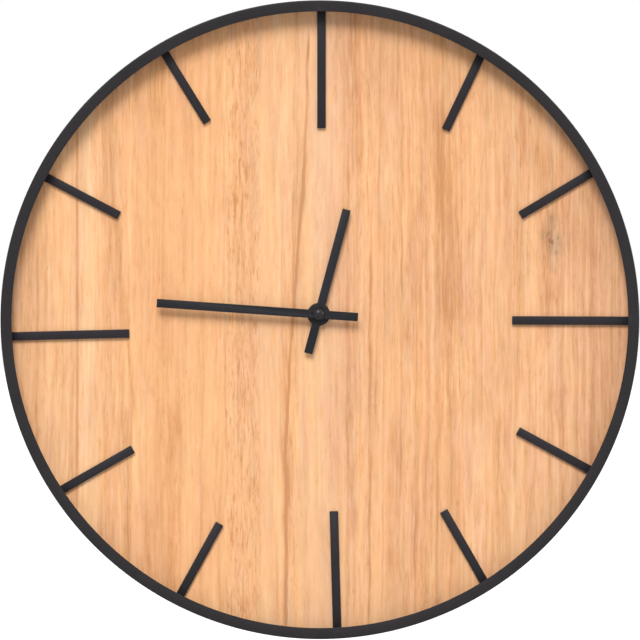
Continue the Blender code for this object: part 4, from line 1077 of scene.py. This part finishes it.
def make_cover():
    low, high = local_box("movement_cover")
    knob_low, knob_high = local_box("setting_knob")
    knob = ((knob_low.x + knob_high.x) / 2, (knob_low.y + knob_high.y) / 2)
    loops = [rounded(low.x, low.y, high.x, high.y, 0.0012, 4), ring_of(ARBOR_HOLE, 32, knob)]
    sheet = soften(plate(loops, low.z, high.z), 0.0002)
    mesh = merged(sheet, *cover_details(low, high, knob))
    add_piece("cover_sheet", mesh, "case_plastic", nodes=["movement_cover"])


def fluted_outline(flutes, root, tip):
    """A knob's edge: the start and the end of each ridge, between roots."""
    outline = []
    for flute in range(flutes):
        for radius, share in ((root, 0.05), (tip, 0.25), (tip, 0.65), (root, 0.85)):
            turn = 2 * pi * (flute + share) / flutes
            outline.append((radius * cos(turn), radius * sin(turn)))
    return outline


def make_knob():
    """The setting knob, with a dished face and a bar to grip."""
    low, high = local_box("setting_knob")
    back, front = low.z, high.z
    thickness, dish_depth, dish_radius = 0.0024, 0.0004, 0.0036
    arbor, pivot, shoulder = 0.0015, 0.0008, 0.0025
    wheel = plate([fluted_outline(24, 0.0052, 0.0055)], back, back + thickness)
    dish = lathe([
        (0, back + dish_depth), (dish_radius, back + dish_depth),
        (dish_radius + 0.0005, back - 0.001), (0, back - 0.001),
    ], 48)
    wheel = combine(soften(wheel, 0.0002, 1, 60.0), [dish])
    grip = box((-0.0037, -0.0005, back + 0.0001), (0.0037, 0.0005, back + 0.0008), 0.0001)
    stem = lathe([
        (0, front), (pivot, front), (pivot, front - shoulder), (arbor, front - shoulder - 0.0003),
        (arbor, back + 0.002), (0, back + 0.002),
    ], 32)
    mesh = merged(wheel, moved(grip, spin(30)), stem)
    place = shift((low.x + high.x) / 2, (low.y + high.y) / 2)
    add_piece("knob_wheel", moved(mesh, place), "gear_plastic", "setting", ["setting_knob"])


def can_profile(length, radius):
    """The cell's can: a slightly sunk minus end, rolled edges and the plus end's nub."""
    bead_radius, side, nub = 0.0008, radius - 0.0011, 0.0023
    can = [(0, 0), (0.0042, 0), (0.0046, 0.0003), (radius - 0.0014, 0.0003)]
    can += arc(bead_radius, (side, 0.0011), -90, 0, 4)
    can += arc(bead_radius, (side, length - 0.0023), 0, 90, 4)
    can += [(0.0034, length - 0.0015), (0.0032, length - 0.0012)]
    can += arc(0.0004, (nub, length - 0.0004), 0, 90, 4)
    return can + [(0, length)]


def sleeve_profile(length, radius):
    """The sleeve round the can, shrunk over both its edges."""
    start, end, lip, bend = 0.0002, length - 0.0013, radius - 0.0015, 0.0007
    within = radius - 0.0003
    sleeve = [(lip, start), (lip + 0.0002, start - 0.0001)]
    sleeve += arc(bend, (radius - bend, start + bend), -90, 0, 5)
    sleeve += arc(bend, (radius - bend, end - bend), 0, 90, 5)
    return sleeve + [
        (lip, end), (lip, end - 0.0003), (within, end - 0.0012), (within, start + 0.0012),
        (lip, start + 0.0003),
    ]


def make_cell():
    low, high = local_box("battery")
    length, radius = high.x - low.x, (high.y - low.y) / 2
    place = shift(low.x, (low.y + high.y) / 2, (low.z + high.z) / 2) @ spin(90, "Y")
    can = moved(lathe(can_profile(length, radius), 64), place)
    add_piece("cell_can", can, "spring_steel", nodes=["battery"])
    sleeve = moved(lathe(sleeve_profile(length, radius), 64, closed=True), place)
    add_piece("cell_sleeve", sleeve, "battery_wrap")


def make_plus_contact():
    """A flat strip with a pressed dome for the cell's nub."""
    low, high = local_box("battery_contact_plus")
    sides = rounded(low.y, low.z, high.y, high.z, 0.001)
    to_side = Matrix(((0, 0, 1, 0), (1, 0, 0, 0), (0, 1, 0, 0), (0, 0, 0, 1)))
    strip = moved(plate([sides], low.x, high.x, 0.00008), to_side)
    dome = [(0, 0.00028), (0.0008, 0.00022), (0.0014, 0.0001), (0.0018, 0), (0, 0)]
    middle = shift(low.x, (low.y + high.y) / 2, (low.z + high.z) / 2)
    dome = moved(lathe(dome, 32), middle @ spin(-90, "Y"))
    add_piece("contact_plus", merged(strip, dome), "spring_steel", nodes=["battery_contact_plus"])


def make_minus_contact():
    """A strip bent into a bow, which springs against the cell."""
    low, high = local_box("battery_contact_minus")
    thick, half, steps = 0.0004, 0.0028, 24
    middle_up = (low.y + high.y) / 2
    rise = high.x - low.x - thick
    path = []
    for step in range(steps + 1):
        up = -half + 2 * half * step / steps
        path.append((low.x + rise * cos(pi * up / (2 * half)) ** 2, middle_up + up))
    path = [(low.x, low.y), *path, (low.x, high.y)]
    outline = path + [(across + thick, up) for across, up in reversed(path)]
    strip = plate([outline], low.z, high.z, 0.00006, 1)
    add_piece("contact_minus", strip, "spring_steel", nodes=["battery_contact_minus"])


def make_nut():
    """A hexagon nut, its corners cut back by a cone at both faces."""
    low, high = local_box("shaft_nut")
    corner, beyond, cut = (high.x - low.x) / 2, 0.0005, 0.00067
    nut = plate([ring_of(corner, 6), ring_of(BUSHING_HOLE, 48)], low.z, high.z)
    narrow, wide = corner - 0.0018, corner + 0.0003
    blank = lathe([
        (0, high.z + beyond), (narrow, high.z + beyond), (wide, high.z - cut),
        (wide, low.z + cut), (narrow, low.z - beyond), (0, low.z - beyond),
    ], 90)
    mesh = moved(combine(nut, [blank], "INTERSECT"), HUB)
    add_piece("hex_nut", mesh, "brass", nodes=["shaft_nut"])


def dress_nodes():
    """Every CAD node that still shows gets its slot's material."""
    for row in frame["record"]["subparts"]:
        mesh = frame["nodes"][row["node"]].data
        mesh.materials.clear()
        mesh.materials.append(MATERIALS[row["material_slot"]])


# Stage

# Each light's name, where it comes from, its strength and its width in radians. The side light
# gives the cap its second glint.
LIGHTS = (
    ("key", (-0.18, -1.0, 1.04), 2.12, 0.46),
    ("top_fill", (0.12, -0.45, 1.0), 1.09, 1.5),
    ("side_fill", (0.92, -0.2, 0.31), 0.44, 0.2),
    ("back_fill", (0.45, 1.0, 0.85), 2.5, 0.5),
)
AMBIENT = 0.216
FLOOR_RADIUS = 60.0
FLOOR_DROP = 0.03
FLOOR_TONE = 0.44
FLOOR_GLOW = 0.56
VIEW_DISTANCE = 10.0
VIEW_WIDTH = 0.60085
VIEW_OFFSET = (0.00012, -0.00027)
SENSOR = 36.0


def light_path_share(nodes, low):
    """One for what the camera and reflections see, and low for the light on the object."""
    path = nodes.add("LightPath").outputs
    seen = nodes.math("MAXIMUM", path["Is Camera Ray"], path["Is Glossy Ray"])
    seen = nodes.math("MAXIMUM", seen, path["Is Transmission Ray"])
    return nodes.remap(seen, 0.0, 1.0, low, 1.0, "LINEAR")


def make_world():
    world = bpy.data.worlds.new("studio")
    bpy.context.scene.world = world
    world.use_nodes = True
    nodes = Nodes(world.node_tree)
    background = world.node_tree.nodes["Background"].inputs
    background["Color"].default_value = (1, 1, 1, 1)
    nodes.feed(background["Strength"], light_path_share(nodes, AMBIENT))


def make_floor():
    """A wide pale floor that shows white and keeps the object's shadow."""
    white = Surface(
        "floor_white", Base_Color=(FLOOR_TONE, FLOOR_TONE, FLOOR_TONE, 1), Roughness=0.9,
        Specular_IOR_Level=0.0, Emission_Color=(1, 1, 1, 1),
    )
    glow = white.times(light_path_share(white, 0.0), FLOOR_GLOW)
    white.feed(white.shader.inputs["Emission Strength"], glow)
    mesh = lathe([(0, 0), (FLOOR_RADIUS, 0)], 64)
    mesh.materials.append(white.material)
    floor = placed("studio_floor", mesh)
    floor.location = (0, 0, RIM_LOW.z - FLOOR_DROP)


def make_lights():
    for name, source, energy, angle in LIGHTS:
        light = bpy.data.lights.new(name, "SUN")
        light.energy, light.angle = energy, angle
        lamp = placed(name, light)
        lamp.rotation_mode = "QUATERNION"
        lamp.rotation_quaternion = Vector(source).to_track_quat("Z", "Y")


def make_camera():
    """A long lens straight in front of the dial, as in the photo."""
    camera = placed("camera", bpy.data.cameras.new("camera"))
    camera.data.sensor_width = SENSOR
    camera.data.lens = SENSOR * VIEW_DISTANCE / VIEW_WIDTH
    camera.data.clip_end = 100.0
    across, up = VIEW_OFFSET
    camera.location = (across, RIM_LOW.y - VIEW_DISTANCE, DIAL_MIDDLE + up)
    camera.rotation_euler = (pi / 2, 0, 0)
    bpy.context.scene.camera = camera


make_rim()
make_bars()
make_hands()
make_cap()
make_brackets()
make_hanger()
make_bumpers()
make_case()
make_cover()
make_knob()
make_cell()
make_plus_contact()
make_minus_contact()
make_nut()
dress_nodes()
make_world()
make_floor()
make_lights()
make_camera()
bpy.context.scene.view_settings.view_transform = "Standard"
